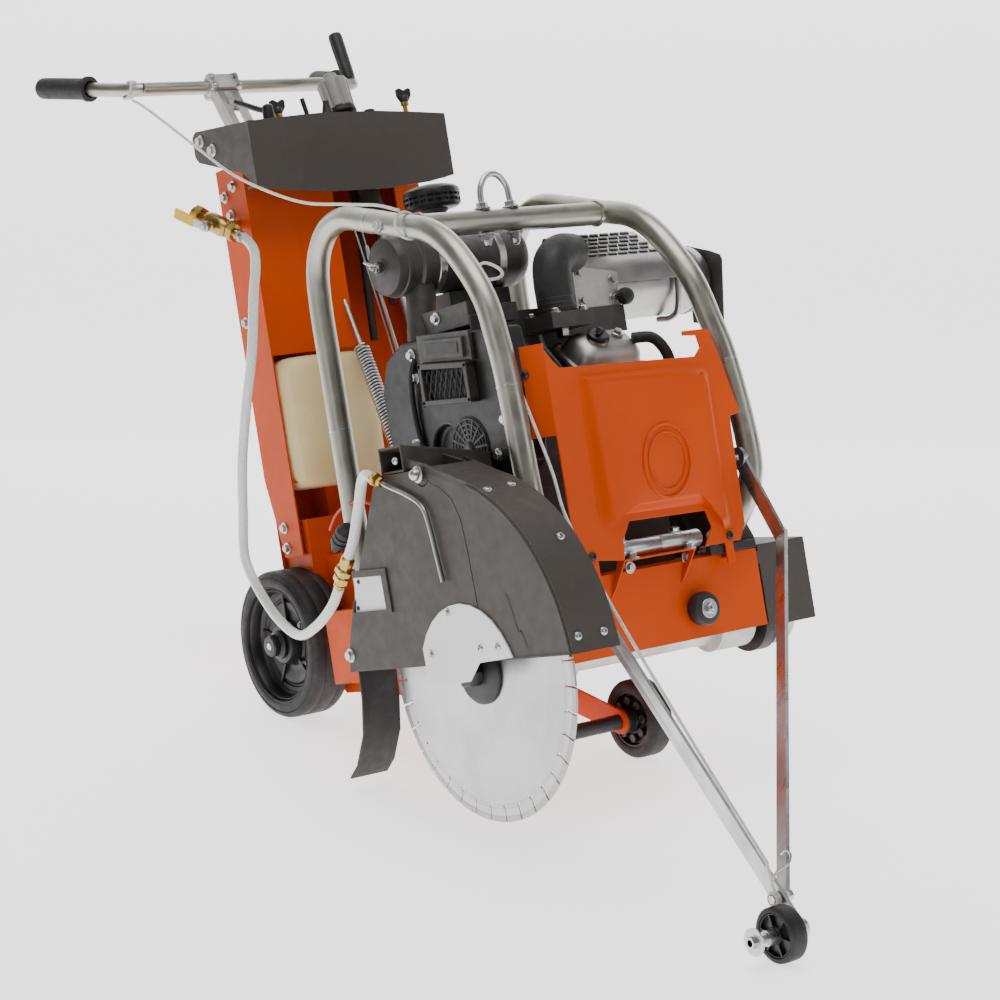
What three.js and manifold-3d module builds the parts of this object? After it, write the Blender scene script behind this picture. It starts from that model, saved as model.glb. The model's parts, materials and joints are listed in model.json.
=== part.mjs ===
// Walk-behind concrete saw, petrol engine, blade on the operator's side that faces -X.
// Millimetres, +Z up. The machine's front faces -Y and the operator stands at +Y.
// The chassis stands nose-up on its depth carriage, blade raised, as it is wheeled about.
import * as THREE from "three";
import { mergeVertices } from "three/addons/utils/BufferGeometryUtils.js";
import Module from "manifold-3d";

const wasm = await Module();
wasm.setup();

// ---------- driving dimensions ----------
const PITCH = THREE.MathUtils.degToRad(16);  // nose-up angle of the chassis on its carriage
const GAP = 0.3;                             // clearance between pieces that touch
const REAR_WHEEL = { radius: 127 };
const FRONT_WHEEL = { radius: 65, inner: 122 };
const POINTER_WHEEL = { radius: 38 };
const SHEET = 4;                             // gauge of the folded steel sheets
const TUBE_R = 19;                           // roll cage tube, outer radius
const CAGE_X = 200;                          // roll cage hoops, distance from the middle
const FRAME = { halfWidth: 215, front: -757, back: -150, top: 45, bottom: -76, tail: 60 };
const PEDESTAL_X = 140;                      // half width of the frame between the wheels
const COLUMN = { halfWidth: 180, front: -54, back: 35, bottom: 145, top: 826 };
const ARBOR = { y: -693, z: -63, shaftR: 16 };
const CRANKSHAFT = { y: -530, z: 250, shaftR: 14 };
const PULLEY = { arborR: 50, engineR: 40, inner: 224, outer: 250 };
const BLADE = { x: -293, radius: 225, half: 1.8 };
const GUARD = { outer: -345, inner: -262, radius: 297, bottom: -45, sheet: 3 };
const DEPTH_HINGE = { y: -130, z: -75 };     // the carriage pivots here
const FRONT_AXLE = { y: -487.6, z: -204.3 };
const LIFT_LUG = { y: -274.4, z: -62.4, pinR: 7 };
const SCREW = { x: 80, y: 15, z: 949, r: 9 };        // top of the depth screw
const DECK_Z = 882;                          // top of the instrument plate
const SCREW_DOWN = new THREE.Vector3(0, -0.2755, -0.9613);
const ARM_UP = new THREE.Vector3(0, 0.4951, 0.8688); // the handlebar slides along this
const BAR = { y: 172, z: 1006, r: 12.5, bend: 232 }; // crosswise part of the handlebar
const POINTER_PIVOT = { y: -762, z: 190 };

// ---------- materials ----------
function finish(color, roughness, metalness) {
  return new THREE.MeshStandardMaterial({ color, roughness, metalness });
}
const orange = finish(0xd0500c, 0.4, 0.1);
const darkPaint = finish(0x4a4642, 0.5, 0.2);
const nickel = finish(0xc6c2b4, 0.3, 0.9);
const zinc = finish(0xd0d2d4, 0.35, 0.9);
const steel = finish(0xb8babc, 0.25, 1);
const darkSteel = finish(0x4d4b48, 0.5, 0.8);
const blackPlastic = finish(0x1d1c1b, 0.55, 0);
const rubber = finish(0x1a1918, 0.85, 0);
const castAluminium = finish(0xb0aea8, 0.45, 0.8);
const tankPlastic = finish(0xe6dcb8, 0.45, 0);
const brass = finish(0xb98a2e, 0.3, 0.95);
const yellow = finish(0xe8b400, 0.45, 0);
const hosePlastic = finish(0xc9dad2, 0.2, 0);
const ropeFibre = finish(0xf0eee8, 0.85, 0);
const greyPlastic = finish(0x8f8c86, 0.5, 0);
const whitePaint = finish(0xe4e6e6, 0.4, 0.1);

// ---------- solids, joins and cuts ----------
function signedVolume(geometry) {
  const p = geometry.attributes.position;
  const index = geometry.index.array;
  const corner = [new THREE.Vector3(), new THREE.Vector3(), new THREE.Vector3()];
  let sum = 0;
  for (let i = 0; i < index.length; i += 3) {
    corner.forEach((v, k) => v.fromBufferAttribute(p, index[i + k]));
    sum += corner[0].dot(corner[1].cross(corner[2]));
  }
  return sum / 6;
}

// A geometry with shared corners and faces that point out.
function closed(geometry) {
  const bare = geometry.clone();
  bare.deleteAttribute("normal");
  bare.deleteAttribute("uv");
  const merged = mergeVertices(bare, 1e-3);
  if (signedVolume(merged) < 0) merged.index.array.reverse();
  return merged;
}

function solid(geometry) {
  const merged = closed(geometry);
  const mesh = new wasm.Mesh({
    numProp: 3,
    vertProperties: Float32Array.from(merged.attributes.position.array),
    triVerts: Uint32Array.from(merged.index.array),
  });
  return new wasm.Manifold(mesh);
}

function geometryOf(manifold) {
  const mesh = manifold.getMesh();
  const geometry = new THREE.BufferGeometry();
  geometry.setAttribute("position", new THREE.Float32BufferAttribute(mesh.vertProperties, 3));
  geometry.setIndex(Array.from(mesh.triVerts));
  geometry.computeVertexNormals();
  return geometry;
}

function join(...pieces) {
  return geometryOf(pieces.map(solid).reduce((sum, piece) => sum.add(piece)));
}

function cut(body, ...tools) {
  return geometryOf(tools.map(solid).reduce((left, tool) => left.subtract(tool), solid(body)));
}

// ---------- shapes ----------
function block(x0, x1, y0, y1, z0, z1) {
  const box = new THREE.BoxGeometry(x1 - x0, y1 - y0, z1 - z0);
  return box.translate((x0 + x1) / 2, (y0 + y1) / 2, (z0 + z1) / 2);
}

// A bar between two points.
function rod(from, to, r, sides = 16) {
  const a = new THREE.Vector3(...from);
  const b = new THREE.Vector3(...to);
  const bar = new THREE.CylinderGeometry(r, r, a.distanceTo(b), sides);
  const turn = new THREE.Quaternion().setFromUnitVectors(
    new THREE.Vector3(0, 1, 0), b.clone().sub(a).normalize());
  return bar.applyQuaternion(turn).translate(...a.add(b).divideScalar(2).toArray());
}

// A bar along X.
function barX(x0, x1, y, z, r, sides = 20) {
  return rod([x0, y, z], [x1, y, z], r, sides);
}

// A body of revolution about X: profile points are [radius, x], in a ring or axis to axis.
function turnedX(profile, y = 0, z = 0, sides = 24) {
  const points = profile.map(([r, x]) => new THREE.Vector2(r, x));
  return new THREE.LatheGeometry(points, sides).rotateZ(-Math.PI / 2).translate(0, y, z);
}

// A body of revolution about a vertical axis: profile points are [radius, z].
function turnedZ(profile, x = 0, y = 0, sides = 20) {
  const points = profile.map(([r, z]) => new THREE.Vector2(r, z));
  return new THREE.LatheGeometry(points, sides).rotateX(Math.PI / 2).translate(x, y, 0);
}

// A plate with its outline in the YZ plane, from x0 to x1. Each hole is a list of [y, z].
function plateX(outline, x0, x1, holes = []) {
  const shape = new THREE.Shape(outline.map(([y, z]) => new THREE.Vector2(y, z)));
  holes.forEach((hole) => {
    shape.holes.push(new THREE.Path(hole.map(([y, z]) => new THREE.Vector2(y, z))));
  });
  const plate = new THREE.ExtrudeGeometry(shape, { depth: x1 - x0, bevelEnabled: false });
  return plate.rotateX(Math.PI / 2).rotateZ(Math.PI / 2).translate(x0, 0, 0);
}

// A plate with its outline in the XZ plane, from y0 to y1.
function plateY(outline, y0, y1) {
  const shape = new THREE.Shape(outline.map(([x, z]) => new THREE.Vector2(x, z)));
  const plate = new THREE.ExtrudeGeometry(shape, { depth: y1 - y0, bevelEnabled: false });
  return plate.rotateX(Math.PI / 2).translate(0, y1, 0);
}

// A prism with its outline in the XY plane, from z0 to z1.
function plateZ(outline, z0, z1) {
  const shape = new THREE.Shape(outline.map(([x, y]) => new THREE.Vector2(x, y)));
  const plate = new THREE.ExtrudeGeometry(shape, { depth: z1 - z0, bevelEnabled: false });
  return plate.translate(0, 0, z0);
}

function arc(cy, cz, r, fromDeg, toDeg, steps) {
  return Array.from({ length: steps + 1 }, (_, i) => {
    const a = THREE.MathUtils.degToRad(fromDeg + (toDeg - fromDeg) * i / steps);
    return [cy + r * Math.cos(a), cz + r * Math.sin(a)];
  });
}

// A round bar or cord along a smooth curve through the points.
function bentRod(points, r, steps, sides = 10) {
  const curve = new THREE.CatmullRomCurve3(points.map((p) => new THREE.Vector3(...p)));
  const section = new THREE.Shape(arc(0, 0, r, 0, 360, sides).slice(0, -1)
    .map(([x, y]) => new THREE.Vector2(x, y)));
  return new THREE.ExtrudeGeometry(section, { steps, extrudePath: curve, bevelEnabled: false });
}

// ---------- scene graph ----------
const saw = new THREE.Group();       // world: the floor is z = 0 once the saw is centred
const machine = new THREE.Group();
const chassis = new THREE.Group();   // chassis frame: origin on the rear axle, Y along the deck
chassis.position.z = REAR_WHEEL.radius;
chassis.rotation.x = -PITCH;
machine.add(chassis);
saw.add(machine);

function add(name, geometry, material, parent = chassis) {
  const mesh = new THREE.Mesh(closed(geometry), material);
  mesh.name = name;
  parent.add(mesh);
  return mesh;
}

// ---------- frame: engine deck, skirt and pedestal over the rear axle ----------
function chassisFrame() {
  const f = FRAME;
  const deck = block(-f.halfWidth, f.halfWidth, f.front, f.back, f.top - SHEET, f.top);
  const nose = block(-f.halfWidth, f.halfWidth, f.front, f.front + SHEET, f.bottom, f.top);
  const skirt = (x) => block(x, x + SHEET, f.front, f.back, f.bottom, f.top);
  const step = (x) => block(x, x + f.halfWidth - PEDESTAL_X, f.back - SHEET, f.back, 20, f.top);
  const cheek = (x) => plateX(
    [[f.back - 20, -100], [-60, -100], [20, -30], [20, 138], [f.back - 20, 138]], x, x + SHEET);
  const tray = block(-PEDESTAL_X, PEDESTAL_X, f.back - 20, 20, 134, 138);
  const heel = block(-PEDESTAL_X, PEDESTAL_X, 16, 20, -30, 138);
  const toe = block(-PEDESTAL_X, PEDESTAL_X, f.back - 20, f.back - 16, f.top - SHEET, 138);
  const whole = join(deck, nose, skirt(-f.halfWidth), skirt(f.halfWidth - SHEET),
    step(-f.halfWidth), step(PEDESTAL_X), cheek(-PEDESTAL_X), cheek(PEDESTAL_X - SHEET),
    tray, heel, toe);
  const axleHole = barX(-300, 300, 0, 0, 12.5 + GAP, 20);
  const pivotHole = barX(-300, 300, DEPTH_HINGE.y, DEPTH_HINGE.z, 10 + GAP, 20);
  const liftHole = block(SCREW.x - 22, SCREW.x + 22, -272, -216, 30, 60);
  const springHole = rod([-22, -228, 30], [-22, -228, 60], 14, 12);
  const arborNotch = barX(-300, 300, ARBOR.y, ARBOR.z, 44, 24);
  return cut(whole, axleHole, pivotHole, liftHole, springHole, arborNotch);
}
add("chassis_frame", chassisFrame(), orange);
add("front_bumper", turnedX([[0, 0], [24, 0], [26, 4], [26, 18], [22, 24], [0, 24]], 0, 0, 24)
  .rotateZ(-Math.PI / 2).translate(81, FRAME.front - GAP, -32), rubber);
add("rear_axle", barX(-244, 244, 0, 0, 12.5, 20), steel);

// ---------- column, console and depth screw housing ----------
function columnShell() {
  const c = COLUMN;
  const side = (x) => plateX([[c.front, c.bottom], [5, c.bottom], [c.back, 285], [c.back, c.top],
    [c.front, c.top]], x, x + 3);
  const leftFace = plateZ([[-c.halfWidth, c.front], [-92, -60], [-18, -74], [-18, -70.8],
    [-92, -56.8], [-c.halfWidth, -50.8]], 490, c.top);
  const rightFace = plateZ([[118, -66], [c.halfWidth, c.front], [c.halfWidth, -50.8],
    [118, -62.8]], 490, c.top);
  const back = block(-c.halfWidth, c.halfWidth, c.back - 3, c.back, 285, c.top);
  const base = block(-c.halfWidth, c.halfWidth, c.front, 5, c.bottom, c.bottom + 3);
  const shelf = block(-c.halfWidth, c.halfWidth, c.front, c.back - 1, 268, 272);
  const guide = (x) => block(x, x + 5, c.back - 1, 112, 790, 868);
  return join(side(-c.halfWidth), side(c.halfWidth - 3), leftFace, rightFace, back, base, shelf,
    guide(-92), guide(-33));
}
const column = columnShell();
const screwTop = new THREE.Vector3(SCREW.x, SCREW.y, SCREW.z);
const alongScrew = (distance) => screwTop.clone().addScaledVector(SCREW_DOWN, distance).toArray();
const screwWell = rod(alongScrew(-10), alongScrew(1100), 24, 20);
add("column", cut(column, screwWell), orange);

function consoleShell() {
  const w = 203;
  const front = plateY([[-w, 770], [-150, 760], [-60, 753], [60, 753], [150, 760], [w, 770],
    [w, 880], [150, 884], [60, 889], [-60, 889], [-150, 884], [-w, 880]], -134, -130);
  const wing = (x) => plateX([[-132, 770], [-90, 800], [46, 846], [56, 858], [56, 892], [44, 900],
    [-132, 880]], x, x + 4);
  const floor = plateZ([[-w + 1, -131], [w - 1, -131], [w - 1, -100], [-w + 1, -100]], 770, 773);
  return join(front, wing(-w), wing(w - 4), floor);
}
add("console_shell", consoleShell(), darkPaint);
const consoleTop = block(-198, 198, -129, 30, DECK_Z - 3, DECK_Z);
const screwBoss = rod(alongScrew(31), alongScrew(250), 20, 20);
const screwBore = rod(alongScrew(-30), alongScrew(400), 15, 20);
const STOP_BUTTON = { x: 68, y: -100, r: 10 };
const buttonHole = rod([STOP_BUTTON.x, STOP_BUTTON.y, 860], [STOP_BUTTON.x, STOP_BUTTON.y, 900],
  STOP_BUTTON.r + 0.5, 16);
add("console_top", cut(join(consoleTop, screwBoss), screwBore, buttonHole), darkPaint);

// ---------- roll cage ----------
// Centre line up the front leg, over the top and down the back leg, as [y, z].
const HOOP_LINE = [[-690, 64.6], [-735, 95], [-755, 150], [-752, 215], [-744, 345], [-735, 414],
  [-716, 486], [-662, 562], [-604, 604], [-528, 626], [-440, 651], [-372, 667], [-318, 655],
  [-280, 614], [-267, 550], [-267, 420], [-267, 253], [-267, 64.6]];
const SPLAY = [-6, 4, 28, 38, 28, 16, 6];    // the front leg on the belt side bows outwards
function hoop(splay) {
  const path = HOOP_LINE.map(([y, z], i) => [CAGE_X + (splay[i] ?? 0), y, z]);
  const foot = (y) => block(CAGE_X - 30, CAGE_X + 14, y - 26, y + 26, FRAME.top + GAP, 68);
  return join(bentRod(path, TUBE_R, 30), foot(-694), foot(-267));
}
const pointerBolt = (x0, x1, head) => join(
  barX(x0, x1, POINTER_PIVOT.y, POINTER_PIVOT.z, 5, 12),
  barX(head, head + 5, POINTER_PIVOT.y, POINTER_PIVOT.z, 10, 6));
const hoopLeft = hoop([-10, -4]).applyMatrix4(new THREE.Matrix4().makeScale(-1, 1, 1));
add("hoop_left", join(hoopLeft, pointerBolt(-233, -205, -233)), nickel);
add("hoop_right", join(hoop(SPLAY), pointerBolt(197, 226, 197)), nickel);
const CROSSBAR = { y: -545, z: 620.5 };
const bailLeg = (x, r, z0, z1) => rod([x, CROSSBAR.y, z0], [x, CROSSBAR.y, z1], r, 8);
const crossbar = cut(barX(-CAGE_X + TUBE_R + GAP, CAGE_X - TUBE_R - GAP, CROSSBAR.y, CROSSBAR.z,
  TUBE_R), bailLeg(-50, 6.5, 580, 660), bailLeg(6, 6.5, 580, 660));
add("hoop_crossbar", crossbar, nickel);

function liftingBail() {
  const { y, z } = CROSSBAR;
  const loop = bentRod([[-50, y, z - 34], [-50, y, z], [-50, y, z + 42], [-43, y, z + 64],
    [-22, y, z + 75], [-1, y, z + 64], [6, y, z + 42], [6, y, z], [6, y, z - 34]], 5, 20, 8);
  const fixing = [-50, 6].flatMap((x) => [
    bailLeg(x, 13, z + TUBE_R + GAP, z + TUBE_R + 4), bailLeg(x, 9, z + TUBE_R + 4, z + 31),
    bailLeg(x, 13, z - TUBE_R - 4, z - TUBE_R - GAP), bailLeg(x, 9, z - 31, z - TUBE_R - 4)]);
  return join(loop, ...fixing);
}
add("lifting_bail", liftingBail(), zinc);

// ---------- fuel tank ----------
add("fuel_tank", plateZ([[-176, -58], [10, -66], [14, -60], [14, 22], [8, 28], [-170, 28],
  [-176, 22]], 272 + GAP, 482), tankPlastic);

// ---------- engine: V-twin with the crankshaft along X ----------
const alongBank = (distance, lean, rise = 0) => [
  CRANKSHAFT.y + lean * (distance * 0.643) + rise * 0.766,
  CRANKSHAFT.z - 20 + distance * 0.766 - lean * rise * 0.643];
function bank(lean, x) {
  const [y, z] = alongBank(122, lean);
  return new THREE.BoxGeometry(104, 104, 130).rotateX(-lean * 0.698).translate(x, y, z);
}
function engineBlock() {
  const sump = block(-118, 148, -640, -400, FRAME.top + GAP, 190);
  const crankcase = barX(-118, 148, CRANKSHAFT.y, CRANKSHAFT.z - 40, 112, 24);
  const shroud = block(-112, 130, -600, -390, 300, 452);
  const intake = block(-48, 32, -676, -598, 430, 454);
  const cradle = block(-70, 50, -447, -407, 445, 526);
  const whole = join(sump, crankcase, bank(-1, 50), bank(1, 30), shroud, intake, cradle);
  return cut(whole, barX(100, 260, CRANKSHAFT.y, CRANKSHAFT.z, CRANKSHAFT.shaftR + 1, 16));
}
add("engine_block", engineBlock(), blackPlastic);
const fanOutline = [[-372, 215], [-640, 190], [-706, 232], [-712, 300], [-690, 440], [-440, 452],
  [-392, 430], [-368, 380]];
add("fan_cover", cut(plateX(fanOutline, -176, -118 - GAP),
  barX(-200, -160, -526, 272, 38, 24)), blackPlastic);
const rockerShape = plateX([[-40, 0], [40, 0], [40, 30], [26, 44], [-26, 44], [-40, 30]], -62, 62);
const [rockerY, rockerZ] = alongBank(187.5, -1);
add("rocker_cover", rockerShape.rotateX(0.698).translate(50, rockerY, rockerZ), castAluminium);

const AIR = { y: -427, z: 577 };
const canister = turnedX([[0, -186], [8, -186], [8, -180], [46, -178], [50, -170], [50, -128],
  [53, -126], [53, -118], [50, -116], [50, 78], [42, 88], [0, 88]], AIR.y, AIR.z, 28);
const precleaner = turnedZ([[0, AIR.z + 30], [19, AIR.z + 30], [19, 662], [42, 664], [45, 668],
  [45, 680], [38, 694], [18, 703], [0, 705]], -60, AIR.y, 28);
add("air_cleaner", join(canister, precleaner), blackPlastic);
add("intake_elbow", bentRod([[-8, -640, 454.5], [-8, -640, 480], [-8, -640, 516], [0, -636, 546],
  [26, -626, 562], [60, -612, 562]], 30, 14, 14), rubber);
const MUFFLER = { y: -520, z: 502 };
add("muffler", turnedX([[0, 132], [40, 132], [54, 138], [56, 146], [56, 360], [52, 372],
  [38, 380], [0, 382]], MUFFLER.y, MUFFLER.z, 28), steel);
const shieldArc = (r, from, to) => arc(MUFFLER.y, MUFFLER.z, r, from, to, 10);
add("heat_shield", plateX([...shieldArc(66, 20, 215), ...shieldArc(64, 215, 20)], 112, 322), steel);

// ---------- engine cover ----------
function engineCover() {
  const y = -775;
  const right = plateY([[-60, 62], [-134, 72], [-150, 90], [-150, 392], [-137, 374], [-125, 361],
    [139, 354], [152, 367], [148, 386], [121, 388], [121, 395], [174, 395], [190, 343],
    [212, 259], [190, 255], [186, 87], [172, 62], [100, 62], [118, 90], [110, 116],
    [-40, 119], [-57, 93]], y, y + 3);
  const left = plateZ([[-150, y], [-147, y + 3], [-170, -745], [-173, -745]], 262, 400);
  const bracket = (x) => [block(x, x + 16, y, y + 3, 30, 80),
    block(x, x + 16, y + 1, -757 - GAP, 38, 41), block(x, x + 16, -760.3, -757 - GAP, 38, 62)];
  return join(right, left, ...bracket(-126), ...bracket(140));
}
add("engine_cover", engineCover(), orange);

// ---------- belt drive on the +X side ----------
// A box over the arbor end and a narrow case up to the crankshaft, open towards the frame.
function beltGuard() {
  const box = plateX([[-757, -80], [-757, 50], [-600, 62], [-600, -80]], 219, 318);
  const boxInside = plateX([[-754, -90], [-754, 47], [-603, 59], [-603, -90]], 200, 315);
  const casing = (wall) => [[-700 + wall * 1.5, -60 - wall * 5], [-712 + wall, 62],
    [-628 + wall, 215], ...arc(CRANKSHAFT.y, CRANKSHAFT.z, 82 - wall, 180, 0, 10),
    [-448 - wall, 160], [-560 - wall * 3.7, -60 - wall * 5]];
  const ear = (y) => block(FRAME.halfWidth + GAP, 223, y - 10, y + 10, 20, 40);
  const shell = cut(join(box, plateX(casing(0), 219, 256)), boxInside,
    plateX(casing(3), 200, 253));
  return join(shell, ear(-747), ear(-514));
}
add("belt_guard", beltGuard(), darkPaint);
function beltLoop(offset) {
  const dy = CRANKSHAFT.y - ARBOR.y;
  const dz = CRANKSHAFT.z - ARBOR.z;
  const lean = THREE.MathUtils.radToDeg(Math.atan2(dz, dy));
  const spread = THREE.MathUtils.radToDeg(
    Math.acos((PULLEY.arborR - PULLEY.engineR) / Math.hypot(dy, dz)));
  const around = (c, r, from, to) => arc(c.y, c.z, r + offset, lean + from, lean + to, 12);
  return [...around(CRANKSHAFT, PULLEY.engineR, -spread, spread),
    ...around(ARBOR, PULLEY.arborR, spread, 360 - spread)];
}
add("drive_belts", plateX(beltLoop(4.6), PULLEY.inner + 4, PULLEY.outer - 4, [beltLoop(0.8)]),
  rubber);
const pulley = (r, bore) => [[bore, PULLEY.inner], [r + 5, PULLEY.inner],
  [r + 5, PULLEY.inner + 3], [r, PULLEY.inner + 3.5], [r, PULLEY.outer - 3.5],
  [r + 5, PULLEY.outer - 3], [r + 5, PULLEY.outer], [bore, PULLEY.outer], [bore, PULLEY.inner]];
add("arbor_pulley", turnedX(pulley(PULLEY.arborR, ARBOR.shaftR + GAP), ARBOR.y, ARBOR.z, 28),
  darkSteel);
add("engine_pulley", join(
  turnedX(pulley(PULLEY.engineR, 8), CRANKSHAFT.y, CRANKSHAFT.z, 28),
  barX(110, PULLEY.outer, CRANKSHAFT.y, CRANKSHAFT.z, CRANKSHAFT.shaftR, 16)), darkSteel);

// ---------- blade shaft ----------
add("arbor_housing", turnedX([[17, -212], [43, -212], [43, -142], [30, -138], [30, 138],
  [43, 142], [43, 212], [17, 212], [17, -212]], ARBOR.y, ARBOR.z, 24), castAluminium);
const flangeBack = BLADE.x + 2.1;
const flangeFace = BLADE.x - 2.1;
add("arbor_shaft", turnedX([[0, -334], [12.4, -334], [12.4, flangeBack], [50, flangeBack],
  [50, flangeBack + 6], [26, flangeBack + 16], [16, flangeBack + 16], [16, 262], [26, 263],
  [50, 276], [50, 288], [16, 290], [0, 290]], ARBOR.y, ARBOR.z, 28), steel);
add("blade", turnedX([[12.7, BLADE.x - BLADE.half], [BLADE.radius, BLADE.x - BLADE.half],
  [BLADE.radius, BLADE.x + BLADE.half], [12.7, BLADE.x + BLADE.half], [12.7, BLADE.x - BLADE.half]],
ARBOR.y, ARBOR.z, 56), steel);
const outerFlange = turnedX([[12.7, flangeFace], [12.7, flangeFace - 10], [40, flangeFace - 12],
  [50, flangeFace - 6], [50, flangeFace], [12.7, flangeFace]], ARBOR.y, ARBOR.z, 28);
const arborNut = cut(barX(-326, -304, ARBOR.y, ARBOR.z, 21, 6),
  barX(-340, -290, ARBOR.y, ARBOR.z, 12.7, 28));
add("outer_flange", join(outerFlange, arborNut), darkSteel);

// ---------- blade guard: fixed rear half, front half that folds up ----------
const FOLD = { y: -694, z: 236, ear: 17 };   // the front half pivots here
const seam = [[-716, 219], [-734, 213], [-761, 193], [-776, 162], [-781, 113], [-784, 43],
  [-786, GUARD.bottom]];
const rim = (r) => arc(ARBOR.y, ARBOR.z, r, 176.5, 106, 14);
function guardShell(outline, hollow) {
  return cut(plateX(outline, GUARD.outer, GUARD.inner),
    plateX(hollow, GUARD.outer + GUARD.sheet, GUARD.inner - GUARD.sheet));
}
const rearHalf = guardShell(
  [[-414, GUARD.bottom], [-425, 0], [-456, 65], [-569, 243],
    ...arc(FOLD.y, FOLD.z, FOLD.ear + 2, 22, -142, 8), ...seam.map(([y, z]) => [y + 2, z])],
  [[-417.5, -60], [-428.5, 0], [-459.5, 65], [-570.5, 240], [-660, 240], [-672, 260], [-720, 260],
    [-830, 200], [-830, -60]]);
const gaugeWindow = [[-467, 99], [-547, 97], [-548, 45], [-450, 46]];
add("guard_rear", cut(rearHalf, plateX(gaugeWindow, -350, -340)), darkPaint);
const frontHalf = guardShell(
  [[ARBOR.y - 296.5, GUARD.bottom], ...rim(GUARD.radius),
    ...arc(FOLD.y, FOLD.z, FOLD.ear, 90, -142, 10), ...seam],
  [[ARBOR.y - 293.5, -60], ...rim(GUARD.radius - GUARD.sheet), [-716, 236], [-716, 262],
    [-670, 262], [-670, -60]]);
const foldBolt = barX(GUARD.outer - 6, GUARD.inner + 6, FOLD.y, FOLD.z, 6, 12);
add("guard_front", join(frontHalf, foldBolt), darkPaint);

// A square tube carries the guard on a post from the deck, with two ears for the fold bolt.
function guardSupport() {
  const tube = cut(block(-345, -184, -650, -588, 244.3, 285),
    block(-350, -188, -646, -592, 248, 281));
  const post = block(-214, -184, -650, -588, FRAME.top + GAP, 246);
  const ear = (x) => plateX([[-664, 246], [-648, 247], [-648, 264],
    ...arc(FOLD.y, FOLD.z, 14, 100, 250, 8), [-672, 232]], x, x + 4);
  return cut(join(tube, post, ear(-338), ear(-273)),
    barX(-350, -240, FOLD.y, FOLD.z, 6 + GAP, 12));
}
add("guard_support", guardSupport(), darkPaint);
const hubOutline = [[-632, -74], [-630, -21], ...arc(-735, -80, 122, 30, 155, 10), [-852, -42],
  [-768, -46], [-738, -72]];
add("hub_plate", plateX(hubOutline, GUARD.outer - GAP - 3, GUARD.outer - GAP), whitePaint);
const tubeFitting = rod([-357.2, -582.9, 242.7], [-359, -595, 238.2], 8, 12);
add("water_tube", join(tubeFitting, bentRod([[-357, -590, 240], [-352, -614, 226], [-351, -652, 211],
  [-351, -690, 190], [-351, -702, 160], [-351, -708, 121], [-351, -715, 76]], 4.5, 14, 8)),
zinc);
const flapFront = [[-424, -36], [-421, -90], [-408, -145], [-377, -192], [-350, -212]];
const flapBack = flapFront.map(([y, z]) => [y - 4.5, z - 1.5]).reverse();
add("splash_flap", plateX([...flapFront, ...flapBack], -338, -269), rubber);

// ---------- water valve, hose and couplings ----------
const OUTLET = [-205, -50, 702];
const INLET = [-235, 34, 757];
const valveMiddle = new THREE.Vector3(-220, -8, 729.5);
const valveAxis = new THREE.Vector3(...INLET).sub(new THREE.Vector3(...OUTLET)).normalize();
const stemAxis = new THREE.Vector3(-1, 0, 0).addScaledVector(valveAxis, valveAxis.x).normalize();
const onValve = (distance) => valveMiddle.clone().addScaledVector(valveAxis, distance).toArray();
const onStem = (distance) => valveMiddle.clone().addScaledVector(stemAxis, distance).toArray();
add("water_valve", join(rod(OUTLET, INLET, 11, 16), rod(onValve(-20), onValve(22), 16, 12),
  rod(onValve(34), onValve(50), 16, 6), rod(onValve(-50), onValve(-36), 14, 6),
  rod(valveMiddle.toArray(), onStem(24), 6, 10),
  rod(onValve(-8), [-COLUMN.halfWidth - 1.5, -16, 724], 8, 10)), brass);
const leverLength = 68;
const leverEnd = new THREE.Vector3(...onStem(33)).addScaledVector(valveAxis, leverLength);
add("valve_lever", join(rod(onStem(24 + GAP), onStem(35), 10, 12),
  rod(onStem(30), leverEnd.toArray(), 5, 8),
  rod(new THREE.Vector3(...onStem(31)).addScaledVector(valveAxis, 26).toArray(),
    leverEnd.toArray(), 9, 8)), yellow);

const HOSE_UPPER = [[-204.7, -50.8, 701.5], [-200.4, -62.8, 693.6], [-206, -95, 668],
  [-219, -113, 635], [-229, -108, 585], [-236, -88, 500], [-243, -52, 410], [-250, -22, 320],
  [-256, -6, 230], [-262, 0, 160], [-270, -36, 110], [-282, -106, 53], [-296, -193, 18],
  [-308, -274, 30], [-318, -345, 58], [-324.9, -389.4, 87.6]];
const HOSE_LOWER = [[-331.5, -441, 133], [-335, -470, 160], [-342, -508, 206], [-349, -540, 243],
  [-354, -563, 250], [-357, -582, 243]];
const HOSE_R = 8.5;
add("hose_upper", bentRod(HOSE_UPPER, HOSE_R, 28, 8), hosePlastic);
add("hose_lower", bentRod(HOSE_LOWER, HOSE_R, 8, 8), hosePlastic);
add("hose_coupling", join(rod([-325.2, -391.4, 89.1], [-331.3, -440.5, 132.5], 11, 12),
  rod([-327, -404, 100], [-329.5, -425, 119], 14, 6)), brass);

// ---------- depth carriage, front wheels, lift screw ----------
// A flat link between two round ends, from x0 to x1.
function link(from, to, fromR, toR, x0, x1) {
  const lean = THREE.MathUtils.radToDeg(Math.atan2(to.z - from.z, to.y - from.y));
  return plateX([...arc(to.y, to.z, toR, lean - 90, lean + 90, 8),
    ...arc(from.y, from.z, fromR, lean + 90, lean + 270, 8)], x0, x1);
}
function frontCarriage() {
  const d = DEPTH_HINGE;
  const a = FRONT_AXLE;
  const ear = (x) => link(d, LIFT_LUG, 14, 13, x, x + 6);
  return join(barX(-146, 146, d.y, d.z, 10, 20), barX(-132, 132, d.y, d.z, 15, 20),
    link(d, a, 22, 20, -106, -100), link(d, a, 22, 20, 100, 106), barX(-168, 168, a.y, a.z, 12, 20),
    block(-104, 104, -330, -318, -162, -132), ear(58), ear(96), ear(-25),
    barX(58, 102, LIFT_LUG.y, LIFT_LUG.z, LIFT_LUG.pinR, 16));
}
add("front_carriage", frontCarriage(), orange);
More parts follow.
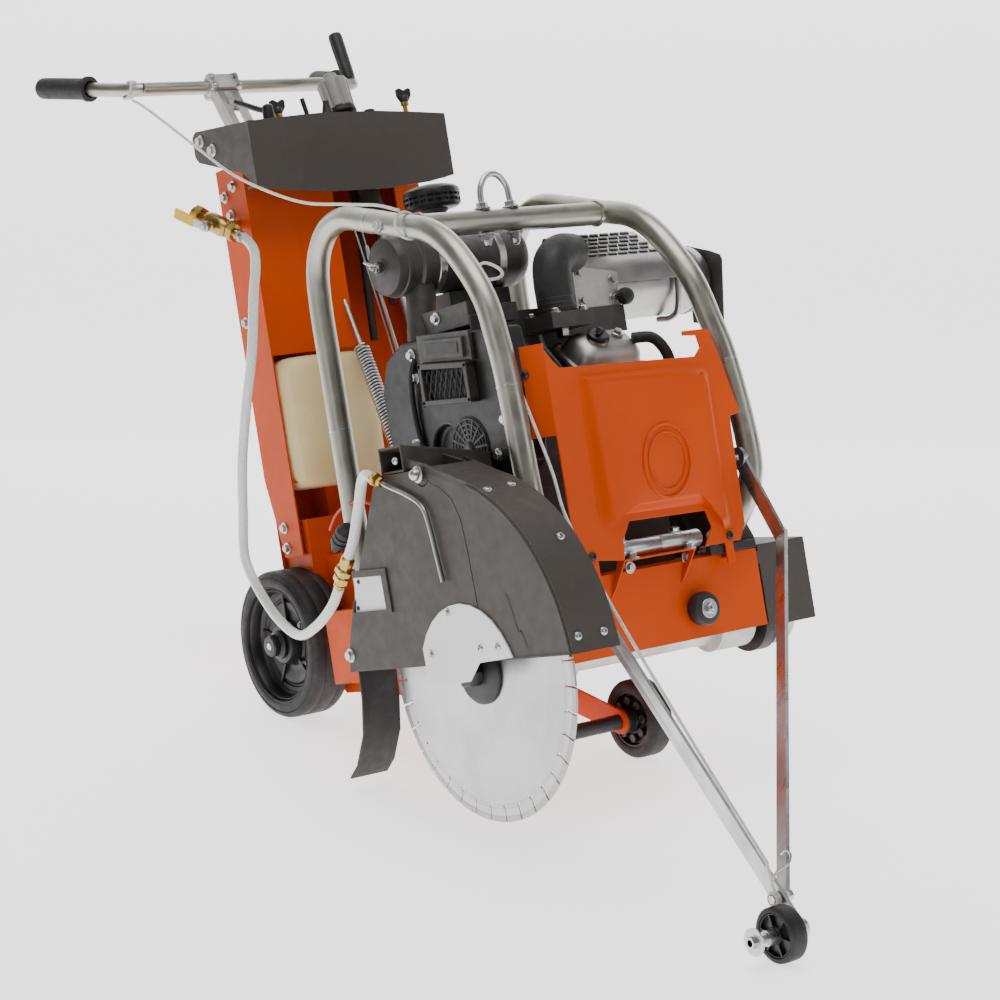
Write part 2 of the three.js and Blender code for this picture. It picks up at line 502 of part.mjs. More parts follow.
const frontWheel = (side) => turnedX([[12.3, 0], [24, 0], [26, 6], [44, 8], [47, 1], [57, 0],
  [FRONT_WHEEL.radius, 6], [FRONT_WHEEL.radius, 38], [57, 44], [47, 43], [44, 36], [26, 34],
  [24, 44], [12.3, 44], [12.3, 0]].map(([r, x]) => [r, side * (FRONT_WHEEL.inner + x)]),
FRONT_AXLE.y, FRONT_AXLE.z, 20);
add("front_wheel_left", frontWheel(1), blackPlastic);
add("front_wheel_right", frontWheel(-1), blackPlastic);

function liftTube() {
  const lug = new THREE.Vector3(SCREW.x, LIFT_LUG.y, LIFT_LUG.z);
  const reach = lug.distanceTo(screwTop);
  const tilt = -Math.atan2(SCREW_DOWN.y, SCREW_DOWN.z);
  const blade = new THREE.BoxGeometry(24, 40, 66).rotateX(tilt).translate(...alongScrew(reach - 8));
  const slot = new THREE.BoxGeometry(60, 22, 15).rotateX(tilt).translate(...alongScrew(reach));
  return cut(join(rod(alongScrew(480), alongScrew(reach - 30), 13, 16), blade), slot,
    rod(alongScrew(470), alongScrew(700), SCREW.r + GAP, 16));
}
add("lift_tube", liftTube(), zinc);
add("depth_screw", rod(alongScrew(30.3), alongScrew(620), SCREW.r, 16), steel);
add("lift_spring", join(rod([-25, -98, 486], [-23, -172, 262], 14, 12),
  rod([-23, -170, 268], [-22, -254, -47], 4, 8)), zinc);

const across = new THREE.Vector3(0, -SCREW_DOWN.z, SCREW_DOWN.y);
const crankTurn = THREE.MathUtils.degToRad(18.8);
const crankReach = 56;
const crankOffset = new THREE.Vector3(Math.cos(crankTurn), 0, 0)
  .addScaledVector(across, Math.sin(crankTurn)).multiplyScalar(crankReach);
const besideScrew = (distance) => new THREE.Vector3(...alongScrew(distance)).add(crankOffset)
  .toArray();
add("crank_handle", join(rod(alongScrew(30), alongScrew(-28), 29, 16),
  rod(alongScrew(-33), besideScrew(-33), 8, 10), rod(alongScrew(-24), alongScrew(-40), 13, 12),
  rod(besideScrew(-24), besideScrew(-52), 6, 12)), greyPlastic);
add("crank_grip", cut(rod(besideScrew(-42), besideScrew(-136), 13, 14),
  rod(besideScrew(-30), besideScrew(-60), 6 + GAP, 14)), rubber);

// ---------- handlebar, grips and console controls ----------
const GRIP_END = [298, 408, 1066];
const handle = [[-BAR.bend - 61, 391, 1061.5], [-BAR.bend - 22, 250, 1025],
  [-BAR.bend - 6, 196, 1011], [-BAR.bend + 14, 175, 1006.5], [-BAR.bend + 50, BAR.y, BAR.z],
  [0, BAR.y, BAR.z]];
function handlebar() {
  const half = bentRod(handle, BAR.r, 18, 12);
  const other = half.clone().applyMatrix4(new THREE.Matrix4().makeScale(-1, 1, 1));
  const tilt = -Math.atan2(ARM_UP.y, ARM_UP.z);
  const alongArm = (distance) => [-60, BAR.y - ARM_UP.y * distance, BAR.z - ARM_UP.z * distance];
  const channel = new THREE.BoxGeometry(50, 22, 230).rotateX(tilt).translate(...alongArm(100));
  const hollow = new THREE.BoxGeometry(42, 18, 260).rotateX(tilt).translate(
    -60, BAR.y - ARM_UP.y * 134 + 5, BAR.z - ARM_UP.z * 134 - 3);
  const slot = new THREE.BoxGeometry(10, 60, 60).rotateX(tilt).translate(...alongArm(85));
  const head = new THREE.BoxGeometry(64, 40, 34).rotateX(tilt).translate(...alongArm(0));
  return join(half, other, cut(channel, hollow, slot), head);
}
add("handlebar", handlebar(), nickel);
function grip(side) {
  const end = new THREE.Vector3(...GRIP_END);
  const start = new THREE.Vector3(BAR.bend + 3, BAR.y, BAR.z);
  const inward = start.sub(end).normalize();
  const at = (distance) => {
    const p = end.clone().addScaledVector(inward, distance);
    return [side * p.x, p.y, p.z];
  };
  const body = join(rod(at(0), at(134), 19.5, 16), rod(at(126), at(134), 23, 16));
  return cut(body, rod(at(14), at(140), BAR.r + 2.5, 16));
}
add("grip_left", grip(1), rubber);
add("grip_right", grip(-1), rubber);

const stem = (x, y, z0, z1, r, sides = 12) => rod([x, y, z0], [x, y, z1], r, sides);
add("clamp_lever", join(stem(-123, -76, DECK_Z + GAP, DECK_Z + 4, 15),
  stem(-123, -76, DECK_Z + 4, 918, 9), rod([-123, -76, 912], [-136, 4, 916], 5, 8)), blackPlastic);
const wingKnob = (x, y) => join(stem(x, y, DECK_Z + GAP, 908, 4.5),
  block(x - 14, x + 14, y - 5, y + 5, 906, 932), stem(x, y, 902, 914, 8));
add("wing_knob_right", wingKnob(-87, -50), blackPlastic);
add("wing_knob_left", wingKnob(138, -110), blackPlastic);
add("stop_button", stem(STOP_BUTTON.x, STOP_BUTTON.y, 874, 899, STOP_BUTTON.r, 16), blackPlastic);
add("throttle_lever", join(rod([-50, -84, DECK_Z + 8], [-54, -80, 926], 4.5, 10),
  barX(-60, -40, -84, DECK_Z + 7.3, 7, 12)), blackPlastic);

// ---------- rear wheels ----------
const rearWheel = (side) => turnedX([[12.8, 154], [30, 154], [34, 170], [92, 172], [98, 158],
  [118, 155], [REAR_WHEEL.radius, 165], [REAR_WHEEL.radius, 219], [118, 229], [101, 230],
  [94, 222], [88, 188], [34, 186], [30, 222], [12.8, 222],
  [12.8, 154]].map(([r, x]) => [r, side * x]), 0, 0, 28);
add("rear_wheel_left", rearWheel(1), rubber);
add("rear_wheel_right", rearWheel(-1), rubber);

// ---------- cutting-line pointer, in the upright world frame ----------
const toWorld = (y, z) => [y * Math.cos(PITCH) + z * Math.sin(PITCH),
  REAR_WHEEL.radius - y * Math.sin(PITCH) + z * Math.cos(PITCH)];
const [pivotY, pivotZ] = toWorld(POINTER_PIVOT.y, POINTER_PIVOT.z);
const TIP = { y: -1290, z: POINTER_WHEEL.radius + 0.5 };

// A flat bar between two points, its width turned as near to a direction as the slope allows.
function strip(from, to, width, thickness, lean = [0, 0, 1]) {
  const a = new THREE.Vector3(...from);
  const b = new THREE.Vector3(...to);
  const along = b.clone().sub(a).normalize();
  const level = new THREE.Vector3(...lean).cross(along).normalize();
  const upright = new THREE.Vector3().crossVectors(along, level);
  const bar = new THREE.BoxGeometry(a.distanceTo(b), thickness, width);
  const turn = new THREE.Matrix4().makeBasis(along, level, upright);
  return bar.applyMatrix4(turn).translate(...a.add(b).divideScalar(2).toArray());
}
const eye = (x0, x1, y, z, r) => barX(x0, x1, y, z, r, 16);
function pointerFrame() {
  const [bendY, bendZ] = toWorld(-823, 62);
  const [joinY, joinZ] = [-1253, 70];
  const folded = [0, bendZ - pivotZ, pivotY - bendY];
  const bars = join(strip([-224, pivotY, pivotZ], [-219, TIP.y, TIP.z], 24, 6),
    eye(-227, -221, pivotY, pivotZ, 16), eye(203, 209, pivotY, pivotZ, 16),
    strip([206, pivotY, pivotZ], [215, bendY, bendZ - 6], 24, 6),
    strip([215, bendY, bendZ], [-214, joinY, joinZ], 24, 6, folded),
    eye(-222, -212, TIP.y, TIP.z, 14),
    eye(-230, -206, joinY, joinZ, 7), barX(-306, -218, TIP.y, TIP.z, 5, 12),
    barX(-278, -268, TIP.y, TIP.z, 11, 12), eye(-300, -295, TIP.y, TIP.z, 11));
  return cut(bars, barX(-240, -200, pivotY, pivotZ, 5 + GAP, 12),
    barX(200, 240, pivotY, pivotZ, 5 + GAP, 12));
}
add("pointer_frame", pointerFrame(), zinc, machine);
add("pointer_wheel", turnedX([[5.3, -236], [12, -236], [14, -240], [29, -240], [31, -237],
  [36, -237], [POINTER_WHEEL.radius, -240], [POINTER_WHEEL.radius, -260], [36, -263],
  [31, -263], [29, -260], [14, -260], [12, -264], [5.3, -264], [5.3, -236]], TIP.y, TIP.z, 20),
rubber, machine);

// ---------- pointer rope, from the handlebar over the cage to the pointer ----------
const ROPE_R = 2.5;
const ROPE_UPPER = [[-234, 188, 990], [-238, 150, 972], [-242, 73, 925], [-246, -41, 851],
  [-242, -147, 781], [-232, -298, 712], [-224, -422, 682], [-221, -505, 664], [-219, -560, 645]];
const ROPE_LOWER = [[-176, -640, 560], [-176, -690, 490], [-176.5, -712, 430], [-177.5, -732, 360],
  [-178, -758, 290], [-188, -800, 208], [-205, -839, 138], [-219, -920, 21], [-229, -1064, -178],
  [-233, -1190, -352]];
add("rope_upper", bentRod(ROPE_UPPER, ROPE_R, 20, 8), ropeFibre);
add("rope_lower", bentRod(ROPE_LOWER, ROPE_R, 18, 8), ropeFibre);

// ---------- place the saw: centred over the floor, lowest point at z = 0 ----------
const ON_CORDS = ["hose_upper", "hose_lower", "hose_coupling", "rope_upper", "rope_lower"];
saw.updateMatrixWorld(true);
const bounds = new THREE.Box3();
saw.traverse((part) => {
  if (part.isMesh && !ON_CORDS.includes(part.name)) bounds.expandByObject(part, true);
});
machine.position.set(-(bounds.min.x + bounds.max.x) / 2, -(bounds.min.y + bounds.max.y) / 2,
  -bounds.min.z);

export default saw;
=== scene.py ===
"""Walk-behind concrete saw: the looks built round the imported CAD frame.

Lengths are in metres. Most points are written in the chassis frame, in millimetres: origin on the
rear axle, v along the deck towards the operator, w square to the deck. at() turns them into the
row frame, with the chassis pitched nose-up.
"""
import json
from math import cos, pi, radians, sin

import bmesh
import bpy
from mathutils import Matrix, Vector


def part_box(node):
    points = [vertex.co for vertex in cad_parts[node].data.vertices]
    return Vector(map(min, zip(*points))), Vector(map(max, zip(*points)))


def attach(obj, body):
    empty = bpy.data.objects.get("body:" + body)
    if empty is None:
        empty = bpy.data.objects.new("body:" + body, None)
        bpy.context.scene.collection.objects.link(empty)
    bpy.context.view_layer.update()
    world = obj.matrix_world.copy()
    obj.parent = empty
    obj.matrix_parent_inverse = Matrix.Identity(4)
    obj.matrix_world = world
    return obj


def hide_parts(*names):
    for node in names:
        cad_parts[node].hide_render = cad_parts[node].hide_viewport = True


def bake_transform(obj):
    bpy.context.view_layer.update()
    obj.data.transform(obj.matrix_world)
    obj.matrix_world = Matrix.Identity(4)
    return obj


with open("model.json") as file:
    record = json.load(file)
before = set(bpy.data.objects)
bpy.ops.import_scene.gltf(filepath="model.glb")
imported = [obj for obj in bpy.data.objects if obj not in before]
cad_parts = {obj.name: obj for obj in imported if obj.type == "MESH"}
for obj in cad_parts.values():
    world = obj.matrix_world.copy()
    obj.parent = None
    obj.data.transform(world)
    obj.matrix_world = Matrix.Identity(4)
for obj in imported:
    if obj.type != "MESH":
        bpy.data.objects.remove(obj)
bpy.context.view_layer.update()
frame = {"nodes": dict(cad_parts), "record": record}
nodes = frame["nodes"]

# ---------- chassis frame ----------
PITCH = radians(16)
AXLE_LOW, AXLE_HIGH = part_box("rear_axle")
AXLE = (AXLE_LOW + AXLE_HIGH) / 2
ROW_V = Vector((0, cos(PITCH), -sin(PITCH)))
ROW_W = Vector((0, sin(PITCH), cos(PITCH)))
ROW_X = Vector((1, 0, 0))


def direction(x, v, w):
    return (ROW_X * x + ROW_V * v + ROW_W * w).normalized()


def at(x, v, w):
    return AXLE + (ROW_X * x + ROW_V * v + ROW_W * w) / 1000


def level(x, y, z):
    """A point in millimetres from the rear axle, in the upright frame, z from the floor."""
    return Vector((AXLE.x + x / 1000, AXLE.y + y / 1000, AXLE.z + (z - 127) / 1000))


def flat(x, y, z):
    """A direction in the upright frame."""
    return Vector((x, y, z)).normalized()


# Axes of whichever frame a Build is given; chassis unless it says level.
X, UP, FRONT, BLADE_SIDE = (1, 0, 0), (0, 0, 1), (0, -1, 0), (-1, 0, 0)

# ---------- camera ----------
CAMERA_AZIMUTH = radians(-36.7)
CAMERA_PITCH = radians(12.5)
CAMERA_ROLL = radians(0.4)
back = Vector((sin(CAMERA_AZIMUTH) * cos(CAMERA_PITCH), -cos(CAMERA_AZIMUTH) * cos(CAMERA_PITCH),
    sin(CAMERA_PITCH)))
right = (-back).cross(Vector(UP)).normalized()
up = right.cross(-back)
rolled_right = right * cos(CAMERA_ROLL) + up * sin(CAMERA_ROLL)
rolled_up = up * cos(CAMERA_ROLL) - right * sin(CAMERA_ROLL)
lens = bpy.data.cameras.new("camera")
lens.lens = 88.86
lens.sensor_width = 36
camera = bpy.data.objects.new("camera", lens)
bpy.context.scene.collection.objects.link(camera)
pose = Matrix((rolled_right, rolled_up, back)).transposed().to_4x4()
pose.translation = level(-2358.0, -3495.4, 1288.1)
camera.matrix_world = pose
bpy.context.scene.camera = camera


# ---------- materials ----------
MATERIALS = {}


class Graph:
    def __init__(self, name):
        self.name = name
        self.material = bpy.data.materials.new(name)
        self.material.use_nodes = True
        self.tree = self.material.node_tree
        self.shader = self.tree.nodes["Principled BSDF"]
        self.coords = self.add("ShaderNodeTexCoord").outputs["Object"]

    def add(self, kind, **values):
        node = self.tree.nodes.new(kind)
        for key, value in values.items():
            if hasattr(node, key):
                setattr(node, key, value)
            else:
                node.inputs[key.replace("_", " ")].default_value = value
        return node

    def link(self, a, b):
        self.tree.links.new(a, b)

    def stretched(self, scale):
        mapping = self.add("ShaderNodeMapping")
        mapping.inputs["Scale"].default_value = scale
        self.link(self.coords, mapping.inputs["Vector"])
        return mapping.outputs["Vector"]

    def noise(self, scale, detail=4.0, roughness=0.55, vector=None, distortion=0.0):
        node = self.add("ShaderNodeTexNoise", Scale=scale, Detail=detail, Roughness=roughness,
            Distortion=distortion)
        self.link(vector or self.coords, node.inputs["Vector"])
        return node.outputs["Fac"]

    def ramp(self, value, low, high, colors):
        node = self.add("ShaderNodeValToRGB")
        node.color_ramp.elements[0].position = low
        node.color_ramp.elements[1].position = high
        node.color_ramp.elements[0].color = (*colors[0], 1)
        node.color_ramp.elements[1].color = (*colors[1], 1)
        self.link(value, node.inputs["Fac"])
        return node.outputs["Color"]

    def remap(self, value, low, high, to_low, to_high):
        node = self.add("ShaderNodeMapRange")
        node.inputs["From Min"].default_value = low
        node.inputs["From Max"].default_value = high
        node.inputs["To Min"].default_value = to_low
        node.inputs["To Max"].default_value = to_high
        self.link(value, node.inputs["Value"])
        return node.outputs["Result"]

    def mix(self, factor, a, b, blend="MIX"):
        node = self.add("ShaderNodeMix", data_type="RGBA", blend_type=blend)
        for socket, value in ((node.inputs[0], factor), (node.inputs[6], a), (node.inputs[7], b)):
            if isinstance(value, bpy.types.NodeSocket):
                self.link(value, socket)
            elif isinstance(value, tuple):
                socket.default_value = (*value, 1)
            else:
                socket.default_value = value
        return node.outputs[2]

    def edges(self, radius, sharpness=6.0):
        """1 along the object's outside and inside edges, 0 on flat faces."""
        bevel = self.add("ShaderNodeBevel", samples=4, Radius=radius)
        plain = self.add("ShaderNodeNewGeometry")
        dot = self.add("ShaderNodeVectorMath", operation="DOT_PRODUCT")
        self.link(bevel.outputs["Normal"], dot.inputs[0])
        self.link(plain.outputs["Normal"], dot.inputs[1])
        return self.remap(dot.outputs["Value"], 1.0, 1.0 - 1.0 / sharpness, 0.0, 1.0)

    def bump(self, height, strength, distance, under=None):
        node = self.add("ShaderNodeBump", Strength=strength, Distance=distance)
        self.link(height, node.inputs["Height"])
        if under is not None:
            self.link(under, node.inputs["Normal"])
        return node.outputs["Normal"]

    def finish(self, color=None, roughness=None, normal=None, **values):
        for key, value in values.items():
            self.shader.inputs[key.replace("_", " ")].default_value = value
        if color is not None:
            self.link(color, self.shader.inputs["Base Color"])
        if roughness is not None:
            self.link(roughness, self.shader.inputs["Roughness"])
        if normal is not None:
            self.link(normal, self.shader.inputs["Normal"])
        MATERIALS[self.name] = self.material


def powder_coat(name, color, dirt, worn, roughness=0.38, grain=650, depth=0.00022, edge=0.0012,
                gloss=0.35):
    """Sprayed powder coat: orange peel, faint cloudy fade, dust, chips along the edges."""
    g = Graph(name)
    clouds = g.noise(6, 5)
    tint = g.mix(g.remap(clouds, 0.3, 0.7, 0, 0.5), color, tuple(c * 0.86 for c in color))
    dust = g.noise(38, 8, 0.7)
    dusty = g.mix(g.remap(dust, 0.58, 0.8, 0, 0.35), tint, dirt)
    chips = g.noise(240, 6, 0.75)
    rim = g.edges(edge)
    chip = g.add("ShaderNodeMath", operation="MULTIPLY")
    g.link(rim, chip.inputs[0])
    g.link(g.remap(chips, 0.5, 0.62, 0, 1), chip.inputs[1])
    final = g.mix(chip.outputs[0], dusty, worn)
    rough = g.remap(g.noise(55, 5), 0.3, 0.75, roughness - 0.06, roughness + 0.16)
    peel = g.bump(g.noise(grain, 2), 0.35, depth)
    g.finish(final, rough, peel, Coat_Weight=0.04, Coat_Roughness=0.25, Metallic=0.0,
        Specular_IOR_Level=gloss)


def plated(name, color, roughness, stretch=(1, 1, 1), scratch=900, metallic=1.0, blotch=0.12):
    """Plated or ground metal: fine drawn scratches, cloudy tarnish and finger marks."""
    g = Graph(name)
    tarnish = g.noise(14, 7, 0.65)
    tint = g.mix(g.remap(tarnish, 0.4, 0.75, 0, 1), color, tuple(c * (1 - blotch * 2) for c in color))
    lines = g.noise(scratch, 3, 0.6, g.stretched(stretch))
    rough = g.remap(g.noise(30, 6), 0.3, 0.75, roughness - 0.06, roughness + 0.14)
    g.finish(tint, rough, g.bump(lines, 0.25, 0.00012), Metallic=metallic)


def moulded(name, color, roughness, grain=1400, depth=0.0001, dust=(0.3, 0.28, 0.25), amount=0.2,
            **extra):
    """Moulded plastic or rubber: fine grain, dust in patches, edges rubbed lighter."""
    g = Graph(name)
    film = g.remap(g.noise(26, 8, 0.7), 0.5, 0.8, 0, amount)
    tint = g.mix(film, color, dust)
    rim = g.edges(0.0015)
    rubbed = g.mix(rim, tint, tuple(min(1, c * 1.9 + 0.01) for c in color))
    rough = g.remap(g.noise(70, 5), 0.3, 0.8, roughness - 0.08, roughness + 0.12)
    g.finish(rubbed, rough, g.bump(g.noise(grain, 3), 0.4, depth), Metallic=0.0, **extra)


ORANGE = (0.64, 0.066, 0.0004)
powder_coat("orange_coat", ORANGE, (0.56, 0.085, 0.006), (0.30, 0.08, 0.03), gloss=0.16)
powder_coat("dark_coat", (0.060, 0.050, 0.043), (0.10, 0.09, 0.075), (0.2, 0.19, 0.17), roughness=0.52,
    grain=900, depth=0.0003)
powder_coat("white_coat", (0.93, 0.93, 0.93), (0.8, 0.79, 0.76), (0.4, 0.4, 0.4))
plated("nickel_tube", (0.47, 0.46, 0.395), 0.36, (1, 1, 1), 700, blotch=0.07)
plated("zinc", (0.60, 0.61, 0.615), 0.30, (1, 1, 1), 800, blotch=0.18)
plated("steel", (0.46, 0.455, 0.44), 0.34, (1, 1, 30), 500, blotch=0.1)
plated("dark_steel", (0.055, 0.055, 0.055), 0.42, metallic=0.75)
moulded("cast_black", (0.046, 0.041, 0.038), 0.46, 500, 0.0003, amount=0.12)
plated("cast_aluminium", (0.56, 0.55, 0.52), 0.46, scratch=420, blotch=0.2)
moulded("black_plastic", (0.011, 0.010, 0.010), 0.40, amount=0.06)
moulded("grey_plastic", (0.30, 0.285, 0.26), 0.45, dust=(0.2, 0.18, 0.16))
moulded("rubber", (0.014, 0.013, 0.013), 0.56, 900, 0.0002, amount=0.08)
moulded("tyre", (0.009, 0.008, 0.008), 0.62, 700, 0.0003, amount=0.10)
moulded("red_plastic", (0.46, 0.022, 0.006), 0.42)
moulded("yellow_grip", (0.80, 0.50, 0.01), 0.32, dust=(0.35, 0.25, 0.08), amount=0.35)
plated("brass", (0.62, 0.42, 0.13), 0.26, scratch=600, blotch=0.22)


def tank_material():
    """Natural polyethylene: milky and waxy, a little light through it, scuffed."""
    g = Graph("tank_plastic")
    tint = g.mix(g.remap(g.noise(9, 5), 0.3, 0.7, 0, 1), (0.90, 0.75, 0.42), (0.80, 0.62, 0.30))
    scuffs = g.noise(60, 8, 0.75, g.stretched((1, 1, 0.2)))
    tint = g.mix(g.remap(scuffs, 0.62, 0.75, 0, 0.5), tint, (0.42, 0.36, 0.25))
    rough = g.remap(g.noise(40, 5), 0.3, 0.7, 0.34, 0.5)
    g.finish(tint, rough, g.bump(g.noise(300, 3), 0.3, 0.0004), Subsurface_Weight=0.35,
        Subsurface_Scale=0.02)


def blade_material():
    """Ground blade steel: rings turned about the arbor, with smears and rub marks."""
    g = Graph("blade_steel")
    centre = at(0, -693, -63)
    offset = g.add("ShaderNodeVectorMath", operation="SUBTRACT")
    offset.inputs[1].default_value = (0, centre.y, centre.z)
    g.link(g.coords, offset.inputs[0])
    flat = g.add("ShaderNodeVectorMath", operation="MULTIPLY")
    flat.inputs[1].default_value = (0, 1, 1)
    g.link(offset.outputs["Vector"], flat.inputs[0])
    radius = g.add("ShaderNodeVectorMath", operation="LENGTH")
    g.link(flat.outputs["Vector"], radius.inputs[0])
    ring = g.add("ShaderNodeCombineXYZ")
    g.link(radius.outputs["Value"], ring.inputs[0])
    grooves = g.noise(1600, 2, 0.6, ring.outputs["Vector"])
    smears = g.noise(10, 7, 0.6)
    tint = g.mix(g.remap(smears, 0.4, 0.7, 0, 1), (0.60, 0.61, 0.615), (0.50, 0.505, 0.51))
    rough = g.remap(grooves, 0.3, 0.7, 0.22, 0.4)
    around = g.add("ShaderNodeVectorMath", operation="CROSS_PRODUCT")
    around.inputs[0].default_value = (1, 0, 0)
    g.link(flat.outputs["Vector"], around.inputs[1])
    g.link(around.outputs["Vector"], g.shader.inputs["Tangent"])
    g.finish(tint, rough, g.bump(grooves, 0.2, 0.00006), Metallic=1.0, Anisotropic=0.75)


def hose_material():
    """Clear reinforced hose: milky wall with a crossed thread braid inside it."""
    g = Graph("hose_plastic")
    threads = g.add("ShaderNodeTexVoronoi", Scale=260.0)
    g.link(g.stretched((1, 1, 0.6)), threads.inputs["Vector"])
    braid = g.remap(threads.outputs["Distance"], 0.1, 0.5, 0, 1)
    tint = g.mix(braid, (0.74, 0.82, 0.79), (0.90, 0.94, 0.92))
    rough = g.remap(g.noise(80, 4), 0.3, 0.7, 0.12, 0.26)
    g.finish(tint, rough, g.bump(threads.outputs["Distance"], 0.35, 0.0004), Transmission_Weight=0.25,
        IOR=1.45, Coat_Weight=0.5, Coat_Roughness=0.08)


def rope_material():
    """Braided rope: plaited strands, slightly soiled, with painted shade darkening the pits between the
    strands.
    """
    g = Graph("rope_fibre")
    strands = g.add("ShaderNodeTexVoronoi", Scale=520.0)
    g.link(g.stretched((1, 0.5, 0.5)), strands.inputs["Vector"])
    soil = g.noise(60, 6, 0.7)
    tint = g.mix(g.remap(soil, 0.4, 0.75, 0, 1), (0.80, 0.79, 0.75), (0.55, 0.52, 0.46))
    # Painted shade: the low points of the strand bump are darkened.
    dark = g.mix(g.remap(strands.outputs["Distance"], 0.0, 0.6, 0.35, 0), tint, (0.4, 0.38, 0.34))
    rough = g.remap(soil, 0.3, 0.7, 0.75, 0.9)
    g.finish(dark, rough, g.bump(strands.outputs["Distance"], 0.8, 0.0012), Sheen_Weight=0.3)


tank_material()
blade_material()
hose_material()
rope_material()

# ---------- building pieces ----------
NODE_SLOT = {s["node"]: s["material_slot"] for s in frame["record"]["subparts"]}
NODE_BODY = {n: body for body, members in frame["record"]["behaviour"]["bodies"].items()
    for n in members}
replaced = set()


def piece(obj, body, slot, replaces=(), material=None):
    """Puts an object in the scene with its body and the material its slot names."""
    if obj.name not in bpy.context.scene.collection.all_objects:
        bpy.context.scene.collection.objects.link(obj)
    obj.data.materials.clear()
    obj.data.materials.append(material or MATERIALS[slot])
    if body:
        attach(obj, body)
    if replaces:
        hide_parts(*replaces)
        replaced.update(replaces)
    return obj


def mesh_object(name, points, faces, smooth_angle=35.0):
    mesh = bpy.data.meshes.new(name)
    mesh.from_pydata([tuple(p) for p in points], [], faces)
    tidy = bmesh.new()
    tidy.from_mesh(mesh)
    bmesh.ops.recalc_face_normals(tidy, faces=tidy.faces)
    tidy.to_mesh(mesh)
    tidy.free()
    mesh.shade_smooth()
    mesh.set_sharp_from_angle(angle=radians(smooth_angle))
    return bpy.data.objects.new(name, mesh)


def rounded(obj, width, segments=2, angle=32.0):
    """Rounds the object's hard edges, width in millimetres."""
    bevel = obj.modifiers.new("rounded", "BEVEL")
    bevel.width = width / 1000
    bevel.segments = segments
    bevel.limit_method = "ANGLE"
    bevel.angle_limit = radians(angle)
    bevel.use_clamp_overlap = True
    bevel.harden_normals = True
    return obj


def catmull(points, steps):
    """A smooth line through the points, with that many steps between neighbours."""
    padded = [points[0] * 2 - points[1], *points, points[-1] * 2 - points[-2]]
    line = []
    for a, b, c, d in zip(padded, padded[1:], padded[2:], padded[3:]):
        for i in range(steps):
            t = i / steps
            line.append(0.5 * ((2 * b) + (c - a) * t + (2 * a - 5 * b + 4 * c - d) * t * t
                + (3 * b - a - 3 * c + d) * t ** 3))
    line.append(points[-1])
    return line


def tube(name, points, radius, steps=6, smooth=True, rings=8):
    """A round bar along a line, radius in millimetres."""
    line = catmull(points, steps) if smooth else points
    curve = bpy.data.curves.new(name, "CURVE")
    curve.dimensions = "3D"
    curve.bevel_depth = radius / 1000
    curve.bevel_resolution = rings
    curve.use_fill_caps = True
    spline = curve.splines.new("POLY")
    spline.points.add(len(line) - 1)
    for point, place in zip(spline.points, line):
        point.co = (*place, 1)
    spline.use_smooth = True
    return bpy.data.objects.new(name, curve)


def side_axes(axis):
    axis = axis.normalized()
    helper = ROW_X if abs(axis.dot(ROW_X)) < 0.9 else ROW_W
    first = axis.cross(helper).normalized()
    return first, axis.cross(first).normalized()


def join_rings(points, faces, rings, first_end=True, last_end=True):
    """Adds a skin over rings of points, all with the same count, and closes its ends."""
    start, count = len(points), len(rings[0])
    for ring in rings:
        points.extend(ring)
    for i in range(len(rings) - 1):
        for k in range(count):
            a = start + i * count + k
            b = start + i * count + (k + 1) % count
            faces.append((a, b, b + count, a + count))
    if first_end:
        faces.append(tuple(start + k for k in reversed(range(count))))
    if last_end:
        faces.append(tuple(start + (len(rings) - 1) * count + k for k in range(count)))


def angles(count, whole=2 * pi):
    return [whole * k / count for k in range(count)]


def turned(points, faces, profile, origin, axis, sides=32):
    """Adds a body of revolution: profile is a list of [radius, distance along], millimetres."""
    axis = axis.normalized()
    u, t = side_axes(axis)
    rings = [[origin + (axis * d + (u * cos(a) + t * sin(a)) * r) / 1000 for a in angles(sides)]
        for r, d in profile]
    open_ended = profile[0] != profile[-1]
    join_rings(points, faces, rings, open_ended, open_ended)


def swept(points, faces, line, radius, sides):
    """Adds a round bar along a list of points in metres, radius in millimetres."""
    u = side_axes((line[1] - line[0]).normalized())[0]
    rings = []
    for i, place in enumerate(line):
        before, after = line[max(i - 1, 0)], line[min(i + 1, len(line) - 1)]
        ahead = (after - before).normalized()
        u = (u - ahead * u.dot(ahead)).normalized()
        t = ahead.cross(u)
        rings.append([place + (u * cos(a) + t * sin(a)) * radius / 1000 for a in angles(sides)])
    join_rings(points, faces, rings)


def slab(points, faces, outline, offset):
    """Adds a prism between an outline of points and the same outline moved by offset."""
    start = len(points)
    count = len(outline)
    points.extend(outline)
    points.extend(p + offset for p in outline)
    faces.append(tuple(start + k for k in range(count)))
    faces.append(tuple(start + count + k for k in reversed(range(count))))
    for k in range(count):
        n = (k + 1) % count
        faces.append((start + k, start + n, start + count + n, start + count + k))


